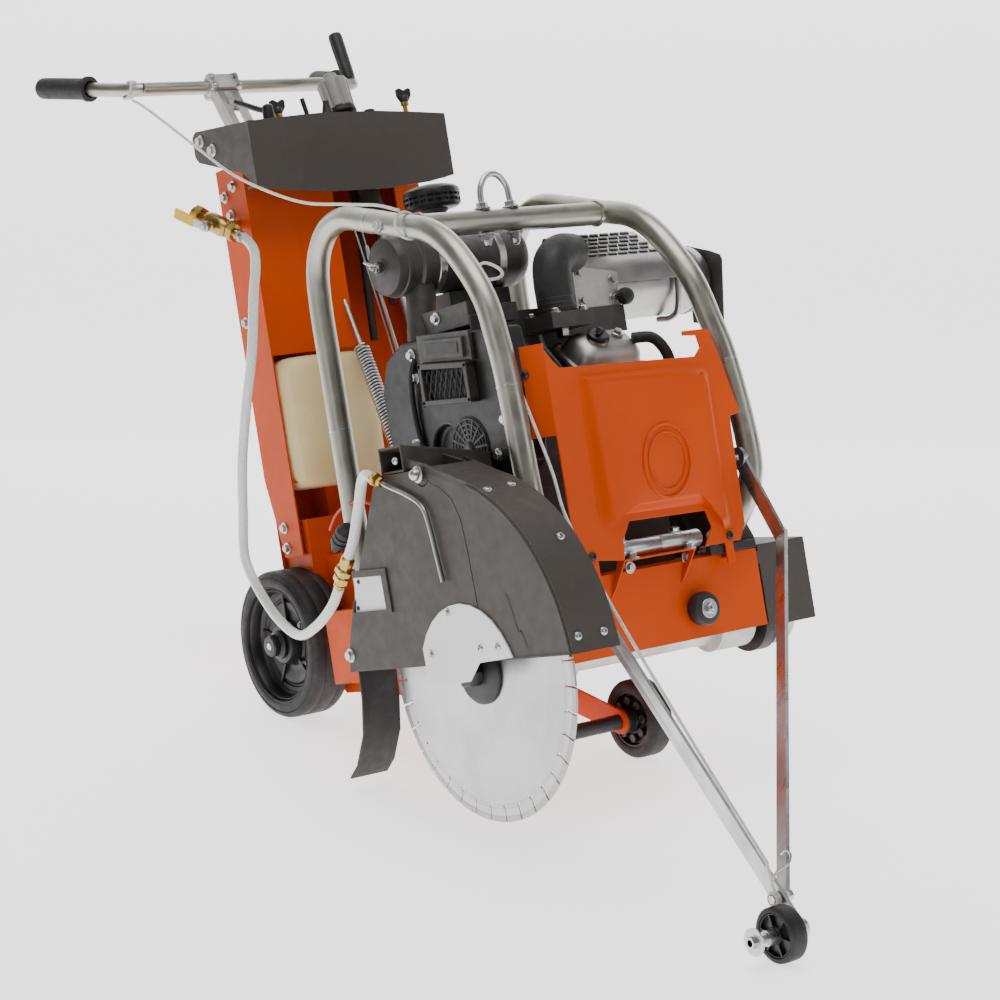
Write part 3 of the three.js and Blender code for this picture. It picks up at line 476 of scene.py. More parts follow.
class Build:
    """Collects the shapes of one piece. Places are (x, v, w) in chassis millimetres."""

    def __init__(self, place=at, turn=direction):
        self.points, self.faces = [], []
        self.place, self.turn = place, turn

    def lathe(self, profile, origin, axis, sides=32):
        turned(self.points, self.faces, profile, self.place(*origin), self.turn(*axis), sides)
        return self

    def hexagon(self, across, height, origin, axis, chamfer=0.8):
        r = across / 2 / cos(pi / 6)
        return self.lathe([(r, 0), (r, height - chamfer), (r * 0.9, height)], origin, axis, 6)

    def bolt(self, origin, axis, across=11, height=6, washer=True):
        lift = 0
        if washer:
            self.lathe([(across * 0.85, -1), (across * 0.85, 1.4), (across * 0.8, 1.8)], origin, axis,
                24)
            lift = 1.8
        step = Vector(axis).normalized() * lift
        return self.hexagon(across, height, Vector(origin) + step, axis)

    def screw(self, origin, axis, r=5.5, height=3.5):
        """A button-head screw with its socket."""
        profile = [(r, -1), (r, 0.6), (r * 0.93, height * 0.5), (r * 0.75, height * 0.85),
            (r * 0.5, height), (r * 0.38, height), (r * 0.34, height * 0.45)]
        return self.lathe(profile, origin, axis, 20)

    def bolts(self, places, *how):
        for place in places:
            self.bolt(place, *how)
        return self

    def screws(self, places, *how):
        for place in places:
            self.screw(place, *how)
        return self

    def lathes(self, profile, places, *how):
        for place in places:
            self.lathe(profile, place, *how)
        return self

    def prism(self, outline, offset):
        base = self.place(0, 0, 0)
        slab(self.points, self.faces, [self.place(*p) for p in outline], self.place(*offset) - base)
        return self

    def side_plate(self, x, outline, thickness):
        """A plate in the side plane: its outline is a list of (v, w)."""
        return self.prism([(x, v, w) for v, w in outline], (thickness, 0, 0))

    def box(self, x0, x1, v0, v1, w0, w1):
        return self.prism([(x0, v0, w0), (x1, v0, w0), (x1, v1, w0), (x0, v1, w0)], (0, 0, w1 - w0))

    def turned_box(self, centre, half, ahead, up):
        """A box about its centre, its length along ahead and its height towards up."""
        ahead = Vector(ahead).normalized()
        side = Vector(up).cross(ahead).normalized()
        up = ahead.cross(side)
        a, b, c = ahead * half[0], side * half[1], up * half[2]
        centre = Vector(centre)
        outline = [tuple(centre + m * a + n * b - c) for m, n in ((-1, -1), (1, -1), (1, 1), (-1, 1))]
        return self.prism(outline, c * 2)

    def pipe(self, route, radius, sides=12, steps=6, smooth=True):
        line = [self.place(*p) for p in route]
        if smooth and len(line) > 2:
            line = catmull(line, steps)
        swept(self.points, self.faces, line, radius, sides)
        return self

    def loft(self, rings, **ends):
        """A skin over rings of places."""
        places = [[self.place(*p) for p in ring] for ring in rings]
        join_rings(self.points, self.faces, places, **ends)

    def ring(self, centre, across, up, radius, steps, sides=10):
        """A closed round bar on an oval: across and up are its half axes."""
        centre, across, up = Vector(centre), Vector(across), Vector(up)
        return self.pipe([centre + across * cos(a) + up * sin(a) for a in angles(steps) + [2 * pi]],
            radius, sides, smooth=False)

    def done(self, name, slot, angle=30, bevel=0.0, body="chassis", stands_for=None, material=None):
        """Makes the piece. Edges sharper than angle stay hard, and bevel rounds them."""
        obj = mesh_object(name, self.points, self.faces, angle)
        if bevel:
            rounded(obj, bevel, 2, angle)
        return piece(obj, body, slot, (stands_for,) if stands_for else (), material)


def circle(v, w, r, start, end, steps, x):
    """Points on an arc in the side plane, from start to end degrees."""
    return [(x, v + r * cos(radians(start + (end - start) * i / steps)),
        w + r * sin(radians(start + (end - start) * i / steps))) for i in range(steps + 1)]


def skin(node, width=1.0, angle=32.0, segments=2):
    """A finished copy of a CAD node with its edges rounded."""
    mesh = nodes[node].data.copy()
    tidy = bmesh.new()
    tidy.from_mesh(mesh)
    bmesh.ops.remove_doubles(tidy, verts=tidy.verts, dist=0.00002)
    bmesh.ops.dissolve_limit(tidy, angle_limit=radians(0.8), verts=tidy.verts, edges=tidy.edges)
    tidy.to_mesh(mesh)
    tidy.free()
    mesh.shade_smooth()
    mesh.set_sharp_from_angle(angle=radians(angle))
    obj = bpy.data.objects.new(node + "_finished", mesh)
    rounded(obj, width, segments, angle)
    return piece(obj, NODE_BODY[node], NODE_SLOT[node], (node,))


# ---------- cords: water hoses and pointer rope ----------
HOSE_RADIUS, ROPE_RADIUS = 8.5, 2.5
HOSE_UPPER = [(-204.7, -50.8, 701.5), (-200.4, -62.8, 693.6), (-206, -95, 668), (-219, -113, 635),
    (-229, -108, 585), (-236, -88, 500), (-243, -52, 410), (-250, -22, 320), (-256, -6, 230),
    (-262, 0, 160), (-270, -36, 110), (-282, -106, 53), (-296, -193, 18), (-308, -274, 30),
    (-318, -345, 58), (-324.9, -389.4, 87.6)]
HOSE_LOWER = [(-331.5, -441, 133), (-335, -470, 160), (-342, -508, 206), (-349, -540, 243),
    (-354, -563, 250), (-357, -582, 243)]
ROPE_UPPER = [(-234, 188, 990), (-238, 150, 972), (-242, 73, 925), (-246, -41, 851), (-242, -147, 781),
    (-232, -298, 712), (-224, -422, 682), (-221, -505, 664), (-219, -560, 645)]
ROPE_LOWER = [(-176, -640, 560), (-176, -690, 490), (-176.5, -712, 430), (-177.5, -732, 360),
    (-178, -758, 290), (-188, -800, 208), (-205, -839, 138), (-219, -920, 21), (-229, -1064, -178),
    (-233, -1190, -352)]


def free_cord(name, route, radius, slot, follows=None):
    """A cord on its route. When follows is given, the cord becomes a plain mesh on no body; the bodies
    it names are not used.
    """
    points = [at(*p) for p in route]
    obj = tube(name + "_line", points, radius, steps=8, rings=6)
    if follows:
        curve = obj
        obj = bpy.data.objects.new("cord", bpy.data.meshes.new_from_object(curve))
        bpy.data.objects.remove(curve)
        obj.name = name + "_line"
    piece(obj, None if follows else "chassis", slot, (name,))
    if follows:
        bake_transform(obj)


COUPLING_FROM, COUPLING_TO = Vector((-325.2, -391.4, 89.1)), Vector((-331.3, -440.5, 132.5))
along_coupling = COUPLING_TO - COUPLING_FROM
coupling = (Build()
 .lathe([(8.7, 0), (10.5, 1), (10.5, 6), (9.5, 7), (9.5, 9), (10.5, 10), (12, 11), (12.6, 14),
     (12.6, 24), (11, 26), (11, 28), (13, 30), (13, 41), (10.5, 44), (10, 48), (11, 50), (11, 60),
     (10.5, 62), (9.5, 64), (8.7, 65.8)], COUPLING_FROM, along_coupling, 36)
 .hexagon(25, 11, COUPLING_FROM + along_coupling.normalized() * 14, along_coupling)
 .hexagon(27, 10, COUPLING_FROM + along_coupling.normalized() * 31, along_coupling)
 .done("hose_coupling_turned", "brass", stands_for="hose_coupling"))
free_cord("hose_upper", HOSE_UPPER, HOSE_RADIUS, "hose_plastic")
free_cord("hose_lower", HOSE_LOWER, HOSE_RADIUS, "hose_plastic")
free_cord("rope_upper", ROPE_UPPER, ROPE_RADIUS, "rope_fibre",
    follows=("handlebar", "chassis"))
free_cord("rope_lower", ROPE_LOWER, ROPE_RADIUS, "rope_fibre",
    follows=("chassis", "pointer"))

# ---------- wheels ----------
TYRE_PROFILE = [(96.5, 160), (99, 155.5), (112, 154.6), (118, 156), (124, 158.5), (126.4, 163),
    (127, 169), (127, 176), (126.2, 177), (126.2, 178), (127, 179), (127, 205), (126.2, 206),
    (126.2, 207), (127, 208), (127, 215), (126.4, 221), (124, 225.5), (118, 228), (116.5, 226.6),
    (114.5, 228.6), (103, 229.6), (101, 228), (98, 229), (96.5, 224), (96.5, 160)]
HUB_PROFILE = [(12.8, 154), (29, 154), (32, 158), (34, 170), (84, 172), (93, 158), (96.2, 158),
    (96.2, 223), (93.5, 224.5), (91, 220), (89, 206), (84, 201), (78, 200), (76, 197), (73, 197),
    (70, 200), (60, 199), (52, 196), (40, 196), (37, 199), (35, 214), (32.5, 219), (19, 221), (18, 219),
    (12.8, 219), (12.8, 154)]


def rear_wheel(name, side):
    (Build().lathe([(r, side * d) for r, d in TYRE_PROFILE], (0, 0, 0), X, 96)
     .done(name + "_tyre", "tyre", 50, body=name, stands_for=name))
    hub = Build()
    hub.lathe([(r, side * d) for r, d in HUB_PROFILE], (0, 0, 0), X, 64)
    for k in range(5):
        a = 2 * pi * (k + 0.25) / 5
        out = Vector((0, cos(a), sin(a)))
        hub.turned_box(Vector((side * 198, 0, 0)) + out * 60, (26, 3.2, 5), out, X)
    hub.done(name + "_hub", "black_plastic", 30, 0.8, body=name)
    bolts = Build()
    for k in range(4):
        a = 2 * pi * (k + 0.6) / 4
        spot = (side * 196, 47 * cos(a), 47 * sin(a))
        bolts.bolt(spot, (side, 0, 0), 8, 4)
    bolts.done(name + "_bolts", "zinc", body=name)


rear_wheel("rear_wheel_left", 1)
rear_wheel("rear_wheel_right", -1)

(Build().lathe([(12.3, -230), (12.5, -229), (12.5, 229), (12.3, 230)], (0, 0, 0), X, 40)
 .done("rear_axle_turned", "steel", stands_for="rear_axle"))
hub_caps = Build()
for side in (-1, 1):
    cap_profile = [(24, 222), (25, 223), (25, 226), (20, 228), (18.5, 230), (18.5, 240), (16.5, 243),
        (8, 243.4), (7.6, 242), (1, 242)]
    hub_caps.lathe([(r, side * d) for r, d in cap_profile], (0, 0, 0), X, 44)
hub_caps.done("rear_axle_caps", "black_plastic")
axle_ends = Build()
for side in (-1, 1):
    axle_ends.lathe([(6.6, side * 241), (6.6, side * 243), (5.6, side * 244)], (0, 0, 0), X, 28)
axle_ends.done("rear_axle_ends", "zinc")

FRONT_AXLE = (0, -487.6, -204.3)


def front_wheel(name, side):
    ring = [(46.5, 124), (49, 122.5), (58, 122.4), (62, 125), (64.6, 129), (65, 134), (65, 154),
        (64.6, 159), (62, 163), (58, 165.6), (49, 165.5), (46.5, 164), (46.5, 124)]
    (Build().lathe([(r, side * d) for r, d in ring], FRONT_AXLE, X, 64)
     .done(name + "_tyre", "tyre", 50, body=name, stands_for=name))
    hub = [(12.3, 122.2), (19, 122.2), (20, 124), (20.5, 132), (41, 134), (43, 125), (46.2, 125),
        (46.2, 163), (43, 163), (41, 155), (20.5, 157), (20, 164), (19, 165.8), (12.3, 165.8),
        (12.3, 122.2)]
    disc = Build()
    disc.lathe([(r, side * d) for r, d in hub], FRONT_AXLE, X, 48)
    for k in range(8):
        a = 2 * pi * k / 8
        spot = (side * 123.5, FRONT_AXLE[1] + 31 * cos(a), FRONT_AXLE[2] + 31 * sin(a))
        disc.lathe([(7, 0), (7, 40), (5.6, 41.5)], spot, (side, 0, 0), 20)
        disc.lathe([(7, 2), (7, 0.6), (5.4, -0.6), (3.2, 1.4)], spot, (side, 0, 0), 20)
    disc.done(name + "_hub", "black_plastic", 30, 0.5, body=name)


front_wheel("front_wheel_left", 1)
front_wheel("front_wheel_right", -1)

TIP = (0, -1290, 38.5)
HOOK_BOLT = (-1253, 70)
(Build(level, flat)
 .lathe([(29.5, -239), (31, -236.6), (35.5, -236.6), (37.6, -239), (38, -243), (38, -257), (37.6, -261),
     (35.5, -263.4), (31, -263.4), (29.5, -261), (29.5, -239)], TIP, X, 64)
 .done("pointer_wheel_tyre", "tyre", 50, body="pointer_wheel", stands_for="pointer_wheel"))
wheel = Build(level, flat)
wheel.lathe([(5.4, -236.4), (11, -236.4), (12.5, -239), (13, -243), (27, -244), (28, -238), (29.3, -238),
    (29.3, -262), (28, -262), (27, -256), (13, -257), (12.5, -261), (11, -264), (5.4, -264),
    (5.4, -236.4)], TIP, X, 48)
for k in range(6):
    a = pi * k / 3
    out = Vector((0, cos(a), sin(a)))
    wheel.turned_box(Vector((-259, TIP[1], TIP[2])) + out * 20, (8, 1.4, 3), out, X)
wheel.done("pointer_wheel_hub", "black_plastic", 30, 0.4, body="pointer_wheel")

# ---------- blade ----------
ARBOR_V, ARBOR_W = -693, -63
ARBOR = (0, ARBOR_V, ARBOR_W)
BLADE_X = -293
SEGMENTS = 36


def ring_block(build, r0, r1, a0, a1, half, steps=3):
    """A block between two radii and two angles about the arbor, half its thickness given."""
    outline = circle(ARBOR_V, ARBOR_W, r1, a0, a1, steps, BLADE_X - half)
    outline += circle(ARBOR_V, ARBOR_W, r0, a1, a0, steps, BLADE_X - half)
    build.prism(outline, (2 * half, 0, 0))


core = Build()
core.lathe([(12.8, BLADE_X - 1.6), (200, BLADE_X - 1.6), (200, BLADE_X + 1.6), (12.8, BLADE_X + 1.6),
    (12.8, BLADE_X - 1.6)], ARBOR, X, 144)
pitch = 360 / SEGMENTS
for k in range(SEGMENTS):
    centre = pitch * (k + 0.35)
    ring_block(core, 199.6, 204.5, centre - pitch * 0.40, centre + pitch * 0.40, 1.6)
    ring_block(core, 204.2, 216.4, centre - pitch * 0.468, centre + pitch * 0.468, 1.6)
core.done("blade_core", "blade_steel", body="blade_shaft", stands_for="blade")
teeth = Build()
for k in range(SEGMENTS):
    centre = pitch * (k + 0.35)
    ring_block(teeth, 216.5, 225, centre - pitch * 0.462, centre + pitch * 0.462, 2.0, 4)
teeth.done("blade_segments", "steel", 30, 0.3, body="blade_shaft")

(Build()
 .lathe([(12.8, -295.2), (12.8, -305), (38, -306.5), (46, -303), (49.5, -299), (50, -295.2),
     (12.8, -295.2)], ARBOR, X, 64)
 .lathe([(20, -306), (20, -308), (18.5, -309)], ARBOR, X, 40)
 .lathe([(22.5, -308), (22.5, -322), (20.5, -325.6), (12.8, -325.8), (12.8, -308), (22.5, -308)], ARBOR,
     X, 6)
 .lathe([(4.5, -303.5), (4.5, -312), (3.5, -313)], (0, ARBOR_V + 30, ARBOR_W + 10), X, 16)
 .done("outer_flange_turned", "dark_steel", 30, 0.5, body="blade_shaft", stands_for="outer_flange"))

# ---------- roll cage ----------
CAGE_RADIUS = 19
BAR_AT = (0, -545, 620.5)
HOOP_LINE = [(-690, 64.6), (-735, 95), (-755, 150), (-752, 215), (-744, 345), (-735, 414), (-716, 486),
    (-662, 562), (-604, 604), (-528, 626), (-440, 651), (-372, 667), (-318, 655), (-280, 614),
    (-267, 550), (-267, 420), (-267, 253), (-267, 64.6)]
LEFT_SPLAY = [-10, -4]
RIGHT_SPLAY = [-6, 4, 28, 38, 28, 16, 6]


def hoop(name, side, splay):
    wide = [200 + (splay[i] if i < len(splay) else 0) for i in range(len(HOOP_LINE))]
    route = [(side * x, v, w) for x, (v, w) in zip(wide, HOOP_LINE)]
    bars = Build()
    bars.pipe(route, CAGE_RADIUS, 40, 8)
    for v in (-694, -267):
        x0, x1 = sorted((side * 170, side * 214))
        bars.box(x0, x1, v - 26, v + 26, 45.4, 51)
        bars.lathe([(24, 50.5), (21.5, 53), (19.6, 58), (19.3, 62)], (side * 198, v + 1, 0), UP, 40)
    bars.done(name + "_tube", "nickel_tube", 32, 0.6, stands_for=name)
    bolts = Build()
    bolts.bolts([(side * 178, v, 51) for v in (-712, -676, -285, -249)], UP, 11, 6)
    bolts.bolt((side * 219, -499, 632.5), (side, 0, 0.2), 13, 6)
    bolts.lathe([(5, -2), (5, 12), (4.4, 12.6)], (side * 222, -762, 190), (side, 0, 0), 20)
    return bolts, wide


left_bolts, left_wide = hoop("hoop_left", -1, LEFT_SPLAY)
left_bolts.hexagon(16, 6, (-227.5, -762, 190), BLADE_SIDE)
left_bolts.lathe([(10, 0), (10, 1.4)], (-227.2, -762, 190), BLADE_SIDE, 32)
left_bolts.done("hoop_left_bolts", "zinc")
right_bolts, right_wide = hoop("hoop_right", 1, RIGHT_SPLAY)
right_bolts.done("hoop_right_bolts", "zinc")


def sleeves(name, side, wide):
    """Thin joint rings round the hoop's tube where its lengths meet."""
    rings = Build()
    for i, share in ((4, 0.0), (9, 0.85), (15, 0.5)):
        a = Vector((side * wide[i], *HOOP_LINE[i]))
        b = Vector((side * wide[i + 1], *HOOP_LINE[i + 1]))
        spot = a.lerp(b, share)
        rings.lathe([(19.1, -2), (19.7, -1.6), (19.7, 1.6), (19.1, 2)], spot, b - a, 40)
    rings.done(name, "zinc")


sleeves("hoop_left_sleeves", -1, left_wide)
sleeves("hoop_right_sleeves", 1, right_wide)

(Build().pipe([(-180.7, *BAR_AT[1:]), (180.7, *BAR_AT[1:])], CAGE_RADIUS, 40)
 .done("hoop_crossbar_tube", "nickel_tube", 32, stands_for="hoop_crossbar"))
(Build()
 .lathes([(19.2, 0), (21.5, 1), (21.5, 5), (19.2, 7)], [(x, *BAR_AT[1:]) for x in (-179, 172)], X, 40)
 .done("hoop_crossbar_collars", "nickel_tube", 32))
bail = Build()
bail.pipe([(-50, -545, 586), (-50, -545, 620.5), (-50, -545, 655), (-47, -545, 676), (-36, -545, 691),
    (-22, -545, 695.5), (-8, -545, 691), (3, -545, 676), (6, -545, 655), (6, -545, 620.5),
    (6, -545, 586)], 5, 20, 6)
for x in (-50, 6):
    for start, up in ((639.8, 1), (601.2, -1)):
        bail.lathe([(13.5, 0), (13.5, 2.4), (12.8, 3)], (x, -545, start), (0, 0, up), 28)
        bail.hexagon(16, 8, (x, -545, start + up * 3), (0, 0, up))
    bail.lathe([(7.4, 0), (7, 5), (5, 8.6), (1.6, 10.4), (0.3, 10.6)], (x, -545, 590.5), (0, 0, -1), 24)
bail.done("lifting_bail_bent", "zinc", 32, stands_for="lifting_bail")

# ---------- blade guard ----------
skin("guard_front", 2.2)
skin("guard_rear", 1.6)
SUPPORT_FRONT, SUPPORT_BACK = -650, -588
support = Build()
slope = [(-345, 281), (-345, 285), (-184, 257), (-184, 253)]
support.prism([(x, SUPPORT_FRONT, w) for x, w in slope], (0, SUPPORT_BACK - SUPPORT_FRONT, 0))
side_wall = [(-345, 244.3), (-345, 284), (-184, 256), (-184, 244.3)]
for v in (SUPPORT_FRONT, SUPPORT_BACK - 4):
    support.prism([(x, v, w) for x, w in side_wall], (0, 4, 0))
support.box(-345, -184, SUPPORT_FRONT, SUPPORT_BACK, 244.3, 248.3)
support.box(-214, -184, SUPPORT_FRONT, SUPPORT_BACK, 45.4, 246)
for x in (-338, -273):
    ear = [(x, -664, 246), (x, -648, 247), (x, -648, 264)]
    ear += circle(-694, 236, 14, 100, 250, 10, x) + [(x, -672, 232)]
    support.prism(ear, (4, 0, 0))
support.done("guard_support_folded", "dark_coat", 30, 2.4, stands_for="guard_support")
(Build().pipe(circle(ARBOR_V, ARBOR_W, 291.5, 177, 112, 40, -345.2), 2.6, 10, smooth=False)
 .box(-346.6, -345, -988, -786, -45, -42.5)
 .done("guard_front_bead", "dark_coat", 40, body="guard_front"))
# A thin black strip on the guard's face: painted shade standing for the dark line of the slit.
(Build().side_plate(-345.4, [(-854, 50), (-858, 49), (-874, -8), (-870.5, -7)], 0.8)
 .side_plate(-345.4, [(-870.5, -7), (-874, -8), (-881, -7.5), (-880, -4)], 0.8)
 .side_plate(-345.4, [(-877, -5), (-881, -6), (-889, -31), (-885, -30)], 0.8)
 .done("guard_front_slit_shade", "rubber", 40, body="guard_front"))


def on_rim(x, angle):
    """A place on the guard's curved wall and the way out of it."""
    a = radians(angle)
    out = (0, cos(a), sin(a))
    return (x, ARBOR_V + out[1] * 296.6, ARBOR_W + out[2] * 296.6), out


rim_screws = Build()
for x, angle in ((-334, 119), (-288, 118), (-290, 143), (-330, 172), (-285, 172)):
    spot, out = on_rim(x, angle)
    rim_screws.screw(spot, out, 6.5, 4)
rim_screws.lathe([(12.5, 0), (12.5, 1.6), (11.8, 2)], (-351, -694, 236), BLADE_SIDE, 32)
rim_screws.lathe([(9, 0), (9, 4), (8.4, 7), (6, 10), (3, 11.6), (0.4, 12)], (-353, -694, 236),
    BLADE_SIDE, 32)
rim_screws.done("guard_front_screws", "zinc", 35, body="guard_front")

window = Build()
frame_in = [(-345.2, -467, 99), (-345.2, -547, 97), (-345.2, -548, 45), (-345.2, -450, 46)]
frame_out = [(-345.2, -468, 110), (-345.2, -562, 108), (-345.2, -563, 40), (-345.2, -448, 41)]
for k in (0, 1):
    window.prism([frame_out[k], frame_out[k + 1], frame_in[k + 1], frame_in[k]], (-3.4, 0, 0))
window.done("guard_window_frame", "dark_coat", 30, 0.9)
(Build().side_plate(-338.6, [(-461, 104), (-553, 102), (-554, 41), (-447, 41)], -1.6)
 .done("guard_window_plate", "white_coat", 30, 0.4))
(Build()
 .screws([(-340.2, v, w) for v, w in ((-471, 92), (-540, 90), (-541, 52), (-459, 52))], BLADE_SIDE, 3.6,
     2.2)
 .done("guard_window_screws", "dark_steel"))
skin("hub_plate", 0.7)
(Build().bolts([(-348.4, v, w) for v, w in ((-709, 31), (-650, -28))], BLADE_SIDE, 8, 3.6)
 .screws([(-348.4, v, -25) for v in (-779, -822)], BLADE_SIDE, 6, 3.4)
 .bolt((-345.2, -424, -19), BLADE_SIDE, 13, 6).screw((-320, -658, 285.2), UP, 6, 3.6)
 .screw((-345.2, -632, 262), BLADE_SIDE, 6, 3.6).done("guard_rear_screws", "zinc"))
Build().box(-341, -266, -431, -427, -40, -22).done("splash_flap_strip", "dark_steel", 30, 0.5)

# ---------- orange engine cover and the nose ----------
skin("engine_cover", 1.0)
COVER_V = -775
PANEL_INSET = 26


def pressed(outline, rise, inset):
    """A panel pressed out of the cover: its outline, then smaller ones in front of it."""
    middle = Vector([sum(p[i] for p in outline) / len(outline) for i in (0, 1)])
    rings = []
    for depth, shrink in ((0.2, 0), (-rise * 0.10, inset * 0.2), (-rise * 0.32, inset * 0.4),
                          (-rise * 0.68, inset * 0.6), (-rise * 0.90, inset * 0.8), (-rise, inset)):
        steps = [(middle - Vector(p)).normalized() * shrink for p in outline]
        rings.append([(x + step.x, COVER_V + depth, w + step.y) for (x, w), step in zip(outline, steps)])
    relief.loft(rings, first_end=False)


relief = Build()
panel = [(-96, 350), (-99, 130), (-92, 112), (-60, 126), (-46, 130), (112, 127), (128, 112), (146, 82),
    (158, 84), (160, 330), (150, 340), (120, 347)]
PANEL_RISE = 12
pressed(panel, PANEL_RISE, PANEL_INSET)
relief.done("engine_cover_panel", "orange_coat", 40)
emblem = Build()
for share, thickness in ((1, 2.6), (0.78, 1.8)):
    emblem.ring((41, COVER_V - PANEL_RISE - 0.4, 201), (46 * share, 0, 0), (4 * share, 0, 56 * share),
        thickness, 48)
emblem.done("engine_cover_oval", "orange_coat", 40)
(Build()
 .pipe([(141, COVER_V - 8.4, 328), (142, COVER_V - 8.8, 250), (142, COVER_V - 8.8, 160),
     (138, COVER_V - 8, 104)], 3.4, 10)
 .done("engine_cover_folds", "orange_coat", 40))
(Build().screws([(151, -775.2, 72), (-120, -775.2, 76)], FRONT, 7, 4)
 .screw((-171.5, -748, 358), (-0.9, -0.5, 0), 7, 4).done("engine_cover_bolts", "dark_steel"))

(Build().box(-62, 80, -776, -757.2, 60, 63)
 .prism([(-85, -757.6, 8), (-62, -757.6, 62), (-62, -776, 62), (-78, -762, 20)], (3, 0, 0))
 .prism([(80, -757.6, 62), (80, -776, 62), (62, -762, 20), (56, -757.6, 12)], (-3, 0, 0))
 .done("nose_gusset", "orange_coat", 30, 0.8))
(Build()
 .lathe([(13.5, -58), (14, -57), (14, 22), (13.6, 23), (13.6, 24), (14, 25), (14, 103), (13.5, 104)],
     (0, -752, 77), X, 40)
 .done("nose_tube", "zinc"))
nose_bolts = Build()
for x in (-40, 72):
    nose_bolts.bolt((x, -768, 63), UP, 13, 7)
    nose_bolts.bolt((x, -757.4, 50), FRONT, 11, 6)
nose_bolts.bolts([(x, -752, 91) for x in (-46, 62)], (0, -0.3, 1), 12, 6)
nose_bolts.lathe([(15, 0), (15, 1.6), (14.4, 2.2)], (81, -781.6, -32), FRONT, 32)
nose_bolts.hexagon(15, 7, (81, -783.6, -32), FRONT)
nose_bolts.lathe([(4, 7), (4, 10), (3.4, 10.6)], (81, -783.6, -32), FRONT, 20)
nose_bolts.done("nose_bolts", "zinc")
Build().box(112, 206, -770, -757.6, 47, 60).done("nose_strip", "rubber", 30, 1.0)
(Build()
 .lathe([(23, 0), (24, 1), (25.6, 4), (26.3, 10), (26, 18), (24, 22.5), (21, 24)], (81, -757.5, -32),
     FRONT, 56)
 .done("front_bumper_moulded", "rubber", stands_for="front_bumper"))

# ---------- water: valve, coupling, tube ----------
INLET, OUTLET = Vector((-235, 34, 757)), Vector((-205, -50, 702))
along_valve = (INLET - OUTLET).normalized()
middle = (INLET + OUTLET) / 2
stem_axis = (Vector((-1, 0, 0)) + along_valve * along_valve.x).normalized()
(Build()
 .lathe([(8.6, 0), (9, 1), (9, 6), (11, 7), (11, 8), (14, 9), (14, 16), (11.4, 18), (11, 22), (13, 24),
     (16.4, 32), (17, 41), (17, 60), (16.4, 69), (13, 76), (11.4, 79), (11.4, 85), (15, 86), (15, 96),
     (13.5, 97), (13.5, 104), (11, 105)], OUTLET, along_valve, 40)
 .hexagon(29, 13, OUTLET + along_valve * 6, along_valve)
 .hexagon(32, 15, OUTLET + along_valve * 85, along_valve)
 .hexagon(27, 9, OUTLET + along_valve * 21, along_valve)
 .lathe([(9, 8), (9, 17), (6.5, 19), (6, 24)], middle, stem_axis, 28)
 .pipe([middle - along_valve * 8, (-181.5, -16, 724)], 8, 20, smooth=False)
 .done("water_valve_body", "brass", stands_for="water_valve"))
(Build().lathe([(9.4, -4), (10, -3.6), (10, 3.6), (9.4, 4)], (-202.6, -56.6, 697.6), (4.3, -12, -7.9))
 .box(-216.6, -208.6, -68.6, -60.6, 689.6, 696.6).done("hose_clamp_upper", "zinc", 30, 0.4))
lever = Build()
base = middle + stem_axis * 30
lever.turned_box((base + along_valve * 47), (23, 9.5, 2.2), along_valve, stem_axis)
lever.done("valve_lever_grip", "yellow_grip", 30, 1.6, body="valve_lever", stands_for="valve_lever")
(Build().turned_box(base + along_valve * 14, (15, 7, 1.4), along_valve, stem_axis)
 .lathe([(8.5, -5.4), (9.5, -5), (9.5, 0.5), (8.5, 1)], base, stem_axis, 28)
 .hexagon(11, 5, base + stem_axis * 1, stem_axis)
 .done("valve_lever_arm", "zinc", 30, 0.5, body="valve_lever"))

(Build()
 .pipe([(-357, -590, 240), (-352, -614, 226), (-351, -652, 211), (-351, -690, 190), (-351, -702, 160),
     (-351, -708, 121), (-351, -715, 76)], 3.6, 18, 8)
 .done("water_tube_bent", "steel", 32, stands_for="water_tube"))
(Build()
 .lathe([(8.6, 0), (8.6, 2), (10.4, 3), (10.4, 7), (7.4, 9), (7.4, 12)], (-357.2, -583.5, 242.9),
     (-0.1, -0.92, -0.36), 24)
 .hexagon(19, 6, (-357.6, -588, 241), (-0.1, -0.92, -0.36))
 .hexagon(14, 6, (-356.5, -596, 236.6), (0.2, -0.86, -0.5))
 .done("water_tube_elbow", "brass", 30, 0.3))

# ---------- engine ----------
skin("fan_cover", 7.0, segments=3)
skin("engine_block", 4.0)
FAN_X, FAN_V, FAN_W = -176.4, -590, 267
louvre = Build()
for r in (14, 22, 30, 38, 46):
    loop = circle(FAN_V, FAN_W, r, 0, 360, 40, FAN_X - 0.4)
    louvre.pipe(loop, 2.0, 8, smooth=False)
for k in range(8):
    a = pi * k / 8
    out = Vector((0, cos(a), sin(a)))
    louvre.turned_box(Vector((FAN_X - 0.6, FAN_V, FAN_W)), (47, 1.6, 1.6), out, X)
louvre.lathe([(11, 0), (11, 3), (9, 4.4), (0.5, 5)], (FAN_X, FAN_V, FAN_W), BLADE_SIDE, 28)
louvre.done("fan_cover_grille", "black_plastic", 40)
# A dark disc behind the grille: painted shade standing for the dark inside of the opening.
(Build().lathe([(50, 0), (50, 0.6), (48, 0.9)], (FAN_X, FAN_V, FAN_W), BLADE_SIDE, 48)
 .done("fan_cover_opening_shade", "rubber", 40))

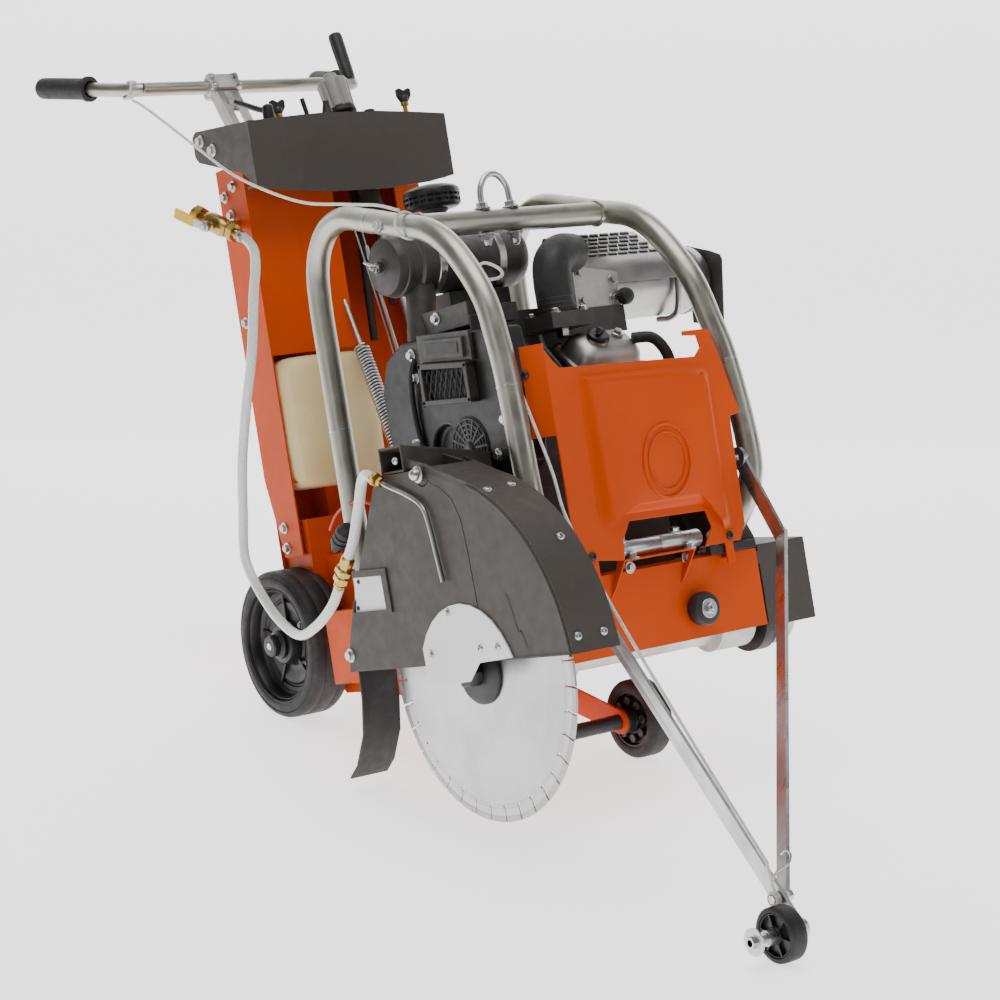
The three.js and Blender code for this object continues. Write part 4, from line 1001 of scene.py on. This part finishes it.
(Build().box(-194, FAN_X, -514, -505, 345, 410).box(-194, FAN_X, -634, -625, 335, 396)
 .side_plate(-194, [(-634, 388), (-505, 402), (-505, 411), (-634, 397)], 17.6)
 .side_plate(-194, [(-634, 335), (-505, 345), (-505, 353), (-634, 343)], 17.6)
 .side_plate(-190, [(-626, 405), (-522, 416), (-520, 446), (-628, 436)], 13.6)
 .side_plate(-184, [(-640, 398), (-500, 412), (-500, 456), (-640, 444)], 7.6)
 .done("fan_cover_intake", "cast_black", 30, 1.6))
mesh = Build()
for k in range(9):
    for lean in (-1, 1):
        v = -622 + k * 14
        mesh.pipe([(-187, v - lean * 12, 344), (-187, v + lean * 12, 396)], 1.7, 8, smooth=False)
mesh.done("fan_cover_mesh", "black_plastic", 40)
# A dark plate in the intake recess behind the mesh: painted shade standing for the hollow.
(Build().side_plate(-182, [(-626, 340), (-512, 349), (-512, 404), (-626, 392)], 5.6)
 .done("fan_cover_hollow_shade", "rubber"))
(Build().side_plate(-191, [(-616, 412), (-532, 421), (-532, 439), (-616, 430)], 1)
 .done("fan_cover_badge", "black_plastic", 30, 0.5))

(Build()
 .bolts([(FAN_X, v, w) for v, w in ((-470, 429), (-471, 393), (-659, 249), (-690, 300), (-640, 212))],
     BLADE_SIDE, 12, 6)
 .bolt((-150, -515, 478), BLADE_SIDE, 12, 6).bolt((-112.3, -592, 440), BLADE_SIDE, 11, 6)
 .bolts([(x, v, 454) for x, v in ((-34, -668), (-34, -606), (20, -668), (20, -606))], UP, 10, 5)
 .done("engine_bolts", "zinc"))

(Build().box(-150, 150, -600, -470, 452.5, 457).box(-150, -146, -600, -470, 452.5, 492)
 .box(-150, 150, -604, -600, 430, 470).box(20, 150, -610, -606, 420, 462)
 .done("engine_shelf", "cast_black", 30, 1.0))

(Build().pipe([(-60, -655, 420), (-75, -680, 400), (-70, -700, 372), (-62, -712, 340)], 4, 12)
 .pipe([(90, -690, 400), (118, -705, 396), (132, -716, 372), (136, -720, 340)], 9, 16)
 .pipe([(-165, -480, 440), (-182, -470, 400), (-183, -462, 350), (-181, -466, 290), (-178, -480, 250)],
     5, 12)
 .pipe([(-120, -640, 455), (-120, -655, 430), (-112, -690, 400), (-100, -700, 372)], 3.4, 10)
 .box(-128, -84, -640, -612, 452, 480).done("engine_leads", "rubber", 35, 0.6))

BANK_LEAN = 0.698


def rocker_place(x, across, rise):
    """A place on the leaning rocker cover: across its width and out from the cylinder."""
    return (50 + x, -650.6 + across * cos(BANK_LEAN) - rise * sin(BANK_LEAN),
        373.6 + across * sin(BANK_LEAN) + rise * cos(BANK_LEAN))


def rocker_outline(half_x, half_y, rise):
    """A rectangle with round corners across the rocker cover."""
    corner = min(16, half_y * 0.8)
    return [rocker_place(sx * (half_x - corner) + corner * cos(radians(a)),
        sy * (half_y - corner) + corner * sin(radians(a)), rise) for sx, sy, start in ((1, 1, 0),
        (-1, 1, 90), (-1, -1, 180), (1, -1, 270)) for a in (start + 22.5 * step for step in range(5))]


rocker = Build()
rocker.loft([rocker_outline(*layer) for layer in ((66, 44, 0), (66, 44, 7), (61, 39, 8), (59, 37, 14),
    (56, 34, 28), (50, 28, 37), (40, 19, 42), (26, 9, 43.5))])
out_of_bank = Vector(rocker_place(0, 0, 1)) - Vector(rocker_place(0, 0, 0))
for x in (-58, 58):
    rocker.lathes([(8, 0), (8, 9), (7, 10)], [rocker_place(x, across, 0) for across in (-36, 36)],
        out_of_bank, 20)
rocker.lathe([(17, 30), (17, 44), (15.5, 46)], rocker_place(-22, -4, 0), out_of_bank, 32)
rocker.lathe([(9, 30), (9, 46), (8, 47)], rocker_place(22, 2, 0), out_of_bank, 24)
rocker.done("rocker_cover_cast", "cast_aluminium", 42, 0.8, stands_for="rocker_cover")
(Build()
 .lathe([(15, 46), (18.5, 47), (18.5, 53), (16, 55), (1, 55.5)], rocker_place(-22, -4, 0), out_of_bank,
     32)
 .turned_box(Vector(rocker_place(-22, -4, 59)), (17, 3.6, 5), (0.7, 0.6, 0), out_of_bank)
 .done("rocker_cover_cap", "black_plastic", 35, 0.8))
rocker_bolts = Build()
for x in (-58, 58):
    for across in (-36, 36):
        rocker_bolts.hexagon(9, 5, rocker_place(x, across, 10), out_of_bank)
rocker_bolts.bolt(rocker_place(22, 2, 47), out_of_bank, 12, 5)
rocker_bolts.ring((-8, -651, 450), (13, 0, 0), (0, 0, 17), 2.8, 28, 12)
rocker_bolts.box(-14, -2, -653, -649, 418, 436)
rocker_bolts.done("rocker_cover_bolts", "zinc", 35, 0.3)

AIR_CLEANER = (0, -427, 577)
(Build()
 .lathe([(1, -186), (9, -186), (9, -180), (14, -180), (15, -178), (40, -176), (45, -173), (48, -166),
     (48.5, -158), (50.5, -156), (50.5, -150), (48.5, -148), (48.5, -131), (50, -129), (53, -127),
     (53, -117), (50, -115), (50, -60), (51, -58), (51, -50), (50, -48), (50, 60), (48, 74), (42, 84),
     (30, 88), (1, 88)], AIR_CLEANER, X, 72)
 .lathe([(18.5, 607), (18.5, 656), (24, 660), (24, 664)], (-60, -427, 0), UP, 48)
 .done("air_cleaner_canister", "cast_black", stands_for="air_cleaner"))
bowl = Build()
bowl.lathe([(22, 662), (40, 664), (43, 666), (45, 668), (45, 672), (42.5, 673), (42.5, 675), (46, 676),
    (46, 680), (42.5, 681), (42.5, 683), (46.5, 684), (46.5, 690), (45, 694), (40, 698), (30, 701),
    (18, 703), (8, 704), (1, 704.6)], (-60, -427, 0), UP, 72)
for k in range(24):
    a = 2 * pi * k / 24
    bowl.turned_box(Vector((-60 + 43.6 * cos(a), -427 + 43.6 * sin(a), 677)), (1.1, 2.4, 7),
        (-sin(a), cos(a), 0), UP)
bowl.done("precleaner_bowl", "black_plastic")
bands = Build()
bands.lathe([(50.6, -98), (51.6, -97), (51.6, -85), (50.6, -84)], AIR_CLEANER, X, 72)
bands.lathe([(50.6, 20), (51.6, 21), (51.6, 33), (50.6, 34)], AIR_CLEANER, X, 72)
bands.lathe([(19, 634), (21.5, 636), (21.5, 650), (19, 652)], (-60, -427, 0), UP, 48)
bands.lathe([(3, 186), (3, 200), (2, 201)], AIR_CLEANER, BLADE_SIDE, 16)
bands.lathe([(8, 186.4), (8, 188.5), (6, 190), (5, 196)], AIR_CLEANER, BLADE_SIDE, 24)
for up in (-1, 1):
    bands.pipe([(-190, -427 + up * 4, 577 + up * 3), (-196, -427 + up * 10, 577 + up * 8),
        (-199, -427 + up * 15, 577 + up * 12)], 2.8, 10)
bands.done("air_cleaner_bands", "zinc", 32)

(Build()
 .pipe([(-8, -640, 454.5), (-8, -640, 480), (-8, -640, 506), (0, -636, 534), (26, -626, 550),
     (60, -612, 551)], 30.5, 40, 8)
 .lathes([(29.4, -2.2), (31, 0), (29.4, 2.2)], [(-8, -640, w) for w in (462, 470, 478)], UP, 40)
 .done("intake_elbow_moulded", "rubber", 40, stands_for="intake_elbow"))

MUFFLER = (0, -520, 502)
(Build()
 .lathe([(1, 131), (38, 132), (50, 134), (54, 138), (56, 144), (56, 150), (57.4, 151), (57.4, 154),
     (56, 155), (56, 348), (57.4, 349), (57.4, 352), (56, 353), (55, 368), (50, 376), (38, 380),
     (1, 382)], MUFFLER, X, 72)
 .lathe([(12, 380), (12, 386), (10, 386), (10, 382)], (0, -535, 485), X, 32)
 .done("muffler_drum", "steel", 32, stands_for="muffler"))

SHIELD_X0, SHIELD_X1 = 92, 278
shield = Build()
outer_line = [(-497, 566), (-497, 586), (-501, 591.5), (-506, 592), (-512, 589.5), (-574, 546),
    (-586, 536), (-594, 525), (-598, 512), (-599, 499)]
inner_line = [(-597.4, 499), (-596.4, 511.6), (-592.6, 524), (-585, 534.8), (-573, 544.6), (-511, 588),
    (-506, 590.2), (-502, 589.6), (-498.6, 585), (-498.6, 566)]
shield.prism([(SHIELD_X0, v, w) for v, w in outer_line + inner_line], (SHIELD_X1 - SHIELD_X0, 0, 0))
for x in (110, 258):
    shield.box(x, x + 3, -560, -510, 545, 557)
shield.done("heat_shield_folded", "steel", stands_for="heat_shield")
# Dark plates under the louvres: painted shade standing for the openings the louvres leave.
slot_shades = Build()
ribs = Build()
plate_out = Vector((0, -0.574, 0.819))
for row in range(6):
    spot = Vector((0, -514.5, 588.3)).lerp(Vector((0, -571, 548.8)), row / 5)
    for column_index in range(8):
        x = 103 + column_index * 21.6 + (row % 2) * 9
        slot_place = spot + Vector((x, 0, 0))
        slot_shades.turned_box(slot_place + plate_out * 0.4, (7.5, 1.8, 0.8), X, plate_out)
        ribs.turned_box(slot_place + Vector((0, 2.6, 1.8)) + plate_out, (8.4, 1.7, 1.4), X,
            (0, -0.3, 0.95))
slot_shades.done("heat_shield_slot_shades", "dark_steel", 30, 0.4)
ribs.done("heat_shield_louvres", "steel", 30, 0.7)
(Build().prism([(58, -606, 462), (146, -606, 462), (150, -606, 516), (60, -606, 532)], (0, 4, 0))
 .done("manifold_plate", "cast_aluminium", 30, 1.2))
(Build().bolts([(x, -606, w) for x, w in ((72, 518), (138, 504), (72, 474), (134, 474))], FRONT, 10, 5)
 .pipe([(292, -528, 560), (292, -556, 554), (292, -579, 537), (292, -586, 508), (292, -574, 452),
     (292, -552, 438), (292, -520, 440)], 5, 16)
 .done("muffler_fittings", "steel", 32))
(Build().lathe([(12, 0), (14, 3), (14, 10), (11, 16), (5, 18.5), (0.6, 19)], (149, -612, 474), FRONT, 32)
 .done("manifold_plug", "rubber", 32))
(Build()
 .side_plate(386, [(-512, 560), (-570, 541), (-592, 531), (-596, 522), (-575, 412), (-500, 430)], -3)
 .done("muffler_side_plate", "cast_black", 30, 1.0))

# ---------- tank, spring and rods in front of the column ----------
tank = Build()
tank_outline = [(-184, -90), (-60, -88), (8, -80), (14, -60), (12, 20), (4, 28), (-166, 28), (-174, 20)]
rows = [(256, 26), (260, 14), (270, 4), (290, 0), (440, 0), (466, 3), (480, 12), (485, 24)]
tank_middle = Vector((-82, -24))


def tank_ring(height, pull):
    """The tank's outline at one height, drawn in towards its middle."""
    steps = [(tank_middle - Vector(p)).normalized() * pull for p in tank_outline]
    return [(x + step.x, v + step.y, height) for (x, v), step in zip(tank_outline, steps)]


tank.loft([tank_ring(*row) for row in rows])
tank_piece = tank.done("fuel_tank_blown", "tank_plastic", 60, stands_for="fuel_tank")
smoothing = tank_piece.modifiers.new("smoothing", "SUBSURF")
smoothing.levels = smoothing.render_levels = 3
(Build().box(-176, 176, 24, 27, 74, 330).box(-168, -96, -62, 22, 74, 205)
 .box(-94, 20, -20, 22, 74, 268).done("column_lower_panels", "orange_coat", 30, 2.0))
plug = Build()
plug_axis = Vector((0, -48, 34)).normalized()
plug.lathe([(8, 0), (9, 2), (9, 12), (14, 14), (15, 17), (15, 24), (13.4, 25), (13.4, 27), (15, 28),
    (15, 35), (13.4, 36), (13.4, 38), (15, 39), (15, 47), (12, 52), (9, 58), (1, 59)], (-224, -232, 146),
    plug_axis, 36)
plug.done("deck_plug", "rubber")
(Build()
 .pipe([(-206, -196, 180), (-212, -236, 204), (-212, -280, 217), (-208, -320, 214), (-202, -352, 200)],
     3, 12)
 .done("battery_lead", None, 40, material=MATERIALS["red_plastic"]))
(Build()
 .pipe([(-120, -440, 540), (-132, -452, 500), (-146, -462, 450), (-150, -470, 400), (-152, -476, 340)],
     24, 28)
 .done("engine_duct", "cast_black", 40))
spring = Build()
SPRING_HUNG, SPRING_HOOKED = (-26, -62, 592), (-22, -254, -47)
top, foot = Vector((-25, -98, 486)), Vector((-23, -172, 262))
along = (foot - top).normalized()
u = along.cross(Vector(X)).normalized()
t = along.cross(u)
turns, per_turn = 40, 14
steps = turns * per_turn
coil_angles = [2 * pi * k / per_turn for k in range(steps + 1)]
spring.pipe([top + (foot - top) * (k / steps) + (u * cos(a) + t * sin(a)) * 12
    for k, a in enumerate(coil_angles)], 2.1, 8, smooth=False)
spring.pipe([foot - along * 12, SPRING_HOOKED], 4, 16, smooth=False)
spring.pipe([SPRING_HUNG, top + along * 10], 4, 16, smooth=False)
spring_wound = spring.done("lift_spring_wound", "zinc", 50, body=None, stands_for="lift_spring")
spring_core = (Build().pipe([top + along * 4, foot - along * 4], 8, 20, smooth=False)
 .done("lift_spring_core", "rubber", 40, body=None))
for part in (spring_wound, spring_core):
    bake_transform(part)
(Build().pipe([(8, -76, 720), (20, -82, 640), (44, -84, 500), (58, -84, 400)], 1.3, 8)
 .pipe([(24, -76, 720), (30, -80, 660)], 1.3, 8)
 .lathe([(3.4, 0), (4, 2), (4, 22), (3.4, 24)], (30, -80, 662), (0.05, -0.02, -1), 16)
 .pipe([(31.5, -81, 638), (50, -84, 520), (66, -86, 420)], 3.2, 12)
 .done("column_rods", "zinc", 40))
(Build().pipe([(60, -20, 800), (56, -30, 700), (48, -36, 600), (40, -44, 500)], 7, 14)
 .pipe([(84, -24, 800), (88, -34, 700), (92, -40, 560)], 5, 12)
 .done("column_leads", "rubber", 40))

# ---------- column, console ----------
column_bolts = Build()
for v, w in ((-17, 791), (15, 778), (2, 744), (10, 557), (-8, 196), (-8, 161)):
    column_bolts.bolt((-180.2, v, w), BLADE_SIDE, 12, 6)
    column_bolts.bolt((180.2, v, w), X, 12, 6)
for v, w in ((28, 880), (-8, 857)):
    for side in (-1, 1):
        column_bolts.bolt((side * 203.2, v, w), (side, 0, 0), 13, 7)
column_bolts.done("column_bolts", "zinc")
skin("column", 2.0)
skin("console_shell", 6.0, segments=4)
skin("console_top", 1.0)

crank = Build()
screw_top = Vector((80, 15, 949))
screw_up = Vector((0, 0.2755, 0.9613))
across_screw = Vector((0, 0.9613, -0.2755))
SCREW_RIGHT = Vector(X)


def fluted(build, base, rings, sides, reach):
    """A body round the depth screw's axis; reach gives the radius at a height and an angle."""
    build.loft([[base + screw_up * height + (SCREW_RIGHT * cos(a) + across_screw * sin(a))
        * reach(height, r, a) for a in angles(sides)] for height, r in rings])


def hub_reach(height, r, a):
    """Seven flutes, shallow at the two ends."""
    return r - (4.2 if -27 <= height <= 20 else 1.5) * max(0.0, cos(a * 7)) ** 3


def grip_reach(height, r, a):
    """Twelve fine ribs along the grip's length."""
    return r - (0.7 if 46 < height < 130 else 0.0) * (0.5 + 0.5 * cos(a * 12))


fluted(crank, screw_top, [(-28.5, 25), (-27, 26.5), (-6, 27), (14, 28), (24, 28.6), (27, 27.6),
    (28.5, 25)], 84, hub_reach)
crank.lathe([(13, 28), (13, 40), (11.5, 42), (1, 42.5)], screw_top, screw_up, 32)
crank_turn = radians(18.8)
reach_arm = Vector((cos(crank_turn), sin(crank_turn) * 0.9613, -sin(crank_turn) * 0.2755)) * 56
arm_end = screw_top + reach_arm + screw_up * 33
crank.turned_box((screw_top + screw_up * 33 + arm_end) / 2, (28, 8, 4.6), reach_arm, screw_up)
crank.lathe([(9.5, -5), (10.5, -3.6), (10.5, 4), (9.5, 5.4)], arm_end, screw_up, 28)
crank.lathe([(5.9, 0), (5.9, 19)], arm_end, screw_up, 20)
crank.done("crank_handle_moulded", "grey_plastic", 28, 0.7, body="crank", stands_for="crank_handle")
(Build()
 .lathe([(26, 1.8), (27.6, 0), (27.6, -7), (26, -9), (11, -9)], screw_top - screw_up * 30.5, screw_up,
     44)
 .done("crank_skirt", "rubber", body="crank"))
grip_build = Build()
fluted(grip_build, screw_top + reach_arm, [(42.5, 9), (43, 11.4), (48, 12.2), (70, 12.4), (110, 13),
    (128, 13), (134, 11.6), (136, 8)], 72, grip_reach)
grip_build.done("crank_grip_moulded", "rubber", 60, body="crank_grip", stands_for="crank_grip")

BAR_V, BAR_W = 172, 1006
ARM_UP = Vector((0, 0.4951, 0.8688))
half = [(-293, 391, 1061.5), (-254, 250, 1025), (-238, 196, 1011), (-218, 175, 1006.5),
    (-182, BAR_V, BAR_W), (0, BAR_V, BAR_W)]
whole_bar = half[:-1] + [(-x, v, w) for x, v, w in reversed(half[:-1])]
(Build().pipe(whole_bar, 12.5, 32, 10)
 .done("handlebar_tube", "nickel_tube", 40, body="handlebar", stands_for="handlebar"))
clamp_build = Build()
arm_top = Vector((-60, BAR_V, BAR_W))
arm_face = Vector((0, -0.8688, 0.4951))
for x in (-23, 23):
    clamp_build.turned_box(arm_top + Vector((x, 0, 0)) - ARM_UP * 100, (115, 2, 11), ARM_UP, arm_face)
for x in (-14, 14):
    clamp_build.turned_box(arm_top + Vector((x, 0, 0)) - ARM_UP * 116 + arm_face * 9.2, (98, 8.6, 1.8),
        ARM_UP, arm_face)
for d in (34, 205):
    clamp_build.turned_box(arm_top - ARM_UP * d + arm_face * 9.2, (18, 24, 1.8), ARM_UP, arm_face)
clamp_build.turned_box(arm_top, (16.5, 31.5, 9), ARM_UP, arm_face)
clamp_build.turned_box(arm_top + arm_face * 14, (16.5, 31.5, 4.6), ARM_UP, arm_face)
clamp_build.turned_box(arm_top - arm_face * 14, (16.5, 31.5, 4.6), ARM_UP, arm_face)
clamp_build.done("handlebar_clamp", "cast_aluminium", 30, 2.0, body="handlebar")
clamp_bolts = Build()
for x in (-24, 24):
    for rise in (-9, 9):
        spot = arm_top + Vector((x, 0, 0)) + ARM_UP * rise + arm_face * 18.4
        clamp_bolts.bolt(spot, arm_face, 9, 4)
clamp_bolts.bolt(arm_top - ARM_UP * 60 + arm_face * 11, arm_face, 10, 5)
clamp_bolts.done("handlebar_bolts", "zinc", body="handlebar")


def grip(name, side):
    end = Vector((298, 408, 1066))
    start_point = Vector((235, BAR_V, BAR_W))
    inward = (start_point - end).normalized()
    origin = Vector((side * end.x, end.y, end.z))
    axis = Vector((side * inward.x, inward.y, inward.z))
    profile = [(2, 0), (12, 0.6), (17, 3), (19, 7), (19.5, 12), (19.5, 20)]
    for k in range(20):
        d = 22 + k * 5
        profile += [(19.6, d), (19.6, d + 3), (18.8, d + 3.8), (18.8, d + 4.4)]
    profile += [(19.6, 123), (20, 125), (23, 126), (23, 133), (21.5, 134), (15.2, 134), (15.2, 14),
        (2, 13)]
    (Build().lathe(profile, origin, axis, 48)
     .done(name + "_moulded", "rubber", 28, body="handlebar", stands_for=name))


grip("grip_left", 1)
grip("grip_right", -1)

CLAMP_LEVER = (-123, -76, 0)
(Build()
 .lathe([(9, 886), (10.5, 888), (10.5, 904), (9, 916), (6, 919), (1, 920)], CLAMP_LEVER, UP, 32)
 .pipe([(-123, -76, 908), (-127, -52, 916), (-132, -22, 930), (-136, 4, 942)], 5.2, 16)
 .done("clamp_lever_moulded", "black_plastic", 35, 0.6, body="clamp_lever", stands_for="clamp_lever"))
(Build().lathe([(15, 882.4), (15, 885), (14, 886), (9, 886.4)], CLAMP_LEVER, UP, 40)
 .done("clamp_lever_washer", None, 35, body="clamp_lever", material=MATERIALS["red_plastic"]))


def wing_knob(name, x, v):
    (Build().lathe([(4.4, 882.4), (4.4, 900), (7.4, 901), (7.4, 907), (6, 908)], (x, v, 0), UP, 24)
     .hexagon(13, 6, (x, v, 884), UP).done(name + "_stem", "brass", body=name))
    wings = Build()
    wings.lathe([(6.4, 906), (8, 908), (8, 916), (6, 920)], (x, v, 0), UP, 28)
    outline = [(x - 7, v - 4.6, 908), (x - 13.6, v - 4.6, 918), (x - 14, v - 4.6, 930),
        (x - 9, v - 4.6, 932), (x, v - 4.6, 927), (x + 9, v - 4.6, 932), (x + 14, v - 4.6, 930),
        (x + 13.6, v - 4.6, 918), (x + 7, v - 4.6, 908)]
    wings.prism(outline, (0, 9.2, 0))
    wings.done(name + "_wings", "black_plastic", 30, 1.8, body=name, stands_for=name)


wing_knob("wing_knob_right", -87, -50)
wing_knob("wing_knob_left", 138, -110)
STOP_BUTTON = (68, -100, 0)
(Build().lathe([(9.9, 874), (9.9, 889), (8, 890)], STOP_BUTTON, UP, 36)
 .lathe([(8, 888), (9.9, 890), (9.9, 896), (8, 898.6), (1, 899)], STOP_BUTTON, UP, 36)
 .done("stop_button_moulded", "black_plastic", 35, 0.4, body="stop_button", stands_for="stop_button"))
(Build().pipe([(-50, -84, 890), (-51, -83, 902), (-54, -80, 926)], 4.2, 16)
 .lathe([(7, -10), (7, 10)], (-50, -84, 889.3), X, 28)
 .done("throttle_lever_moulded", "black_plastic", 35, 0.5, body="throttle_lever",
     stands_for="throttle_lever"))
(Build()
 .lathe([(15, 882.4), (15, 886), (9, 900), (6, 912), (5.4, 918), (1, 918.5)], (-14, -92, 0), UP, 36)
 .done("console_boot", "rubber", 35))

# ---------- carriage, belt guard, pointer ----------
sleeve = Build()
for side in (-1, 1):
    x0, x1 = sorted((side * 107, side * 121.5))
    sleeve.lathe([(20, x0), (21, x0 + 1), (21, x1 - 1), (19, x1)], FRONT_AXLE, X, 40)
sleeve.lathe([(12.6, -99), (12.6, 99)], FRONT_AXLE, X, 36)
sleeve.done("axle_sleeves", "dark_steel", body="carriage")
caps = Build()
for side in (-1, 1):
    caps.lathe([(14, 168.2), (14, 170), (11, 171)], FRONT_AXLE, (side, 0, 0), 28)
caps.done("axle_caps", "zinc", body="carriage")
belt_bolts = Build()
for v, w in ((-745, 38), (-745, -66), (-612, 46), (-612, -66)):
    belt_bolts.bolt((318.2, v, w), X, 11, 5)
for a in (20, 90, 160):
    spot = circle(-530, 250, 70, a, a, 1, 256.2)[0]
    belt_bolts.bolt(spot, X, 11, 5)
belt_bolts.done("belt_guard_bolts", "zinc")

(Build(level, flat)
 .hexagon(15, 8, (-306, *TIP[1:]), X)
 .lathe([(19, -299.5), (19, -297.5), (5, -297.4)], TIP, X, 40)
 .lathe([(9, -296), (9, -290), (5, -289)], TIP, X, 24)
 .hexagon(14, 8, (-280, *TIP[1:]), X)
 .hexagon(14, 7, (-271, *TIP[1:]), X)
 .lathe([(10, -266), (10, -264.6)], TIP, X, 28)
 .hexagon(13, 6, (-206, *HOOK_BOLT), X)
 .hexagon(11, 5, (-235, *HOOK_BOLT), X)
 .pipe([(-226, -1246, 92), (-227, -1250, 104), (-222, -1256, 112), (-212, -1259, 118),
     (-207, -1257, 128), (-211, -1251, 134), (-217, -1247, 128)], 1.8, 10)
 .done("pointer_fittings", "zinc", body="pointer"))

# ---------- rope knots and the spare loop ----------
knots = Build()
for x in (-236, -240.5, -231):
    knots.ring((x, 191, 1009.6), (0, 14.4, 0), (5.25, 0, 15), 2.4, 24)
knots.done("rope_knot_handlebar", "rope_fibre", 40, body="handlebar")
(Build().ring((-205, -556, 621.4), (21.6, 0, 0), (0, 4, 21.6), 2.4, 28)
 .done("rope_knot_cage", "rope_fibre", 40))
(Build()
 .pipe([(-183, -560, 612), (-160, -562, 585), (-128, -556, 552), (-100, -560, 546), (-98, -594, 549),
     (-98, -628, 534), (-99, -634, 522), (-100, -606, 521), (-108, -584, 530), (-130, -572, 548),
     (-158, -566, 580), (-182, -566, 606)], 2.5, 12)
 .done("rope_spare_loop", "rope_fibre", 40))
knots = Build(level, flat)
knots.pipe([(-233, -1239, 118), (-233.4, -1246, 104), (-233, -1252, 90), (-232, -1256, 80)], 2.4, 10)
for x in (-228, -232.4):
    knots.ring((x, *HOOK_BOLT), (0, 8.6, 0), (0, 0, 8.6), 2.2, 20)
knots.done("rope_knot_pointer", "rope_fibre", 40, body="pointer")
(Build().lathe([(4, -6), (5.4, -4), (5.4, 4), (4, 6)], (-176, -645, 553), (0, -0.5, -1), 16)
 .done("rope_knot_lower", "rope_fibre", 40))

# ---------- every CAD part, finished ----------
for node in nodes:
    if node not in replaced:
        skin(node, 1.5 if node == "chassis_frame" else 1.0)

# ---------- floor and light ----------
floor_mesh = bpy.data.meshes.new("floor")
sheet = bmesh.new()
WALL_FOOT, BEND, WALL_TOP, HALF_WIDTH, FAR = 2.4, 1.2, 5.0, 7, 14
profile = [(-6.0, 0.0), (WALL_FOOT, 0.0)]
profile += [(WALL_FOOT + BEND * sin(a), BEND - BEND * cos(a))
    for a in (radians(90 * k / 12) for k in range(1, 13))]
profile += [(WALL_FOOT + BEND, WALL_TOP)]
rows = [[sheet.verts.new((x, y, z)) for x in (-HALF_WIDTH, HALF_WIDTH)] for y, z in profile]
for low, high in zip(rows, rows[1:]):
    sheet.faces.new((low[0], low[1], high[1], high[0]))
behind = ((-FAR, WALL_FOOT, 0), (FAR, WALL_FOOT, 0), (FAR, FAR, 0), (-FAR, FAR, 0))
sheet.faces.new([sheet.verts.new(corner) for corner in behind])
sheet.to_mesh(floor_mesh)
sheet.free()
floor_mesh.shade_smooth()
floor = bpy.data.objects.new("floor", floor_mesh)
floor.matrix_world = Matrix.Rotation(CAMERA_AZIMUTH, 4, "Z")
backdrop = Graph("backdrop")
soft = backdrop.ramp(backdrop.noise(0.6, 3), 0.3, 0.7, ((0.93, 0.93, 0.93), (0.97, 0.97, 0.97)))
backdrop.finish(soft, Roughness=0.85, Emission_Color=(1, 1, 1, 1), Emission_Strength=1.55)


def show_one_side(material):
    """Lets the paper's back be looked through, so the wall hides nothing from behind."""
    links, shaders = material.node_tree.links, material.node_tree.nodes
    output = next(n for n in shaders if n.type == "OUTPUT_MATERIAL")
    lit = output.inputs["Surface"].links[0].from_socket
    mix = shaders.new("ShaderNodeMixShader")
    links.new(shaders.new("ShaderNodeNewGeometry").outputs["Backfacing"], mix.inputs[0])
    links.new(lit, mix.inputs[1])
    links.new(shaders.new("ShaderNodeBsdfTransparent").outputs[0], mix.inputs[2])
    links.new(mix.outputs[0], output.inputs["Surface"])


show_one_side(backdrop.material)
floor.data.materials.append(backdrop.material)
bpy.context.scene.collection.objects.link(floor)


def softbox(name, place, target, size, power):
    light = bpy.data.lights.new(name, "AREA")
    light.shape = "RECTANGLE"
    light.size, light.size_y = size
    light.energy = power
    obj = bpy.data.objects.new(name, light)
    bpy.context.scene.collection.objects.link(obj)
    aim = Vector(target) - Vector(place)
    obj.matrix_world = Matrix.Translation(place) @ aim.to_track_quat("-Z", "Y").to_matrix().to_4x4()


softbox("overhead", (-0.4, -0.4, 3.4), (0, 0, 0.4), (2.4, 2.4), 66)
softbox("front_left", (-3.4, -1.0, 2.0), (0, 0, 0.5), (1.2, 2.2), 9)
softbox("front_right", (1.8, -3.4, 1.8), (0, 0, 0.5), (1.0, 2.0), 15)
world = bpy.data.worlds.new("world")
world.use_nodes = True
world.node_tree.nodes["Background"].inputs["Color"].default_value = (1, 1, 1, 1)
world.node_tree.nodes["Background"].inputs["Strength"].default_value = 0.16
bpy.context.scene.world = world
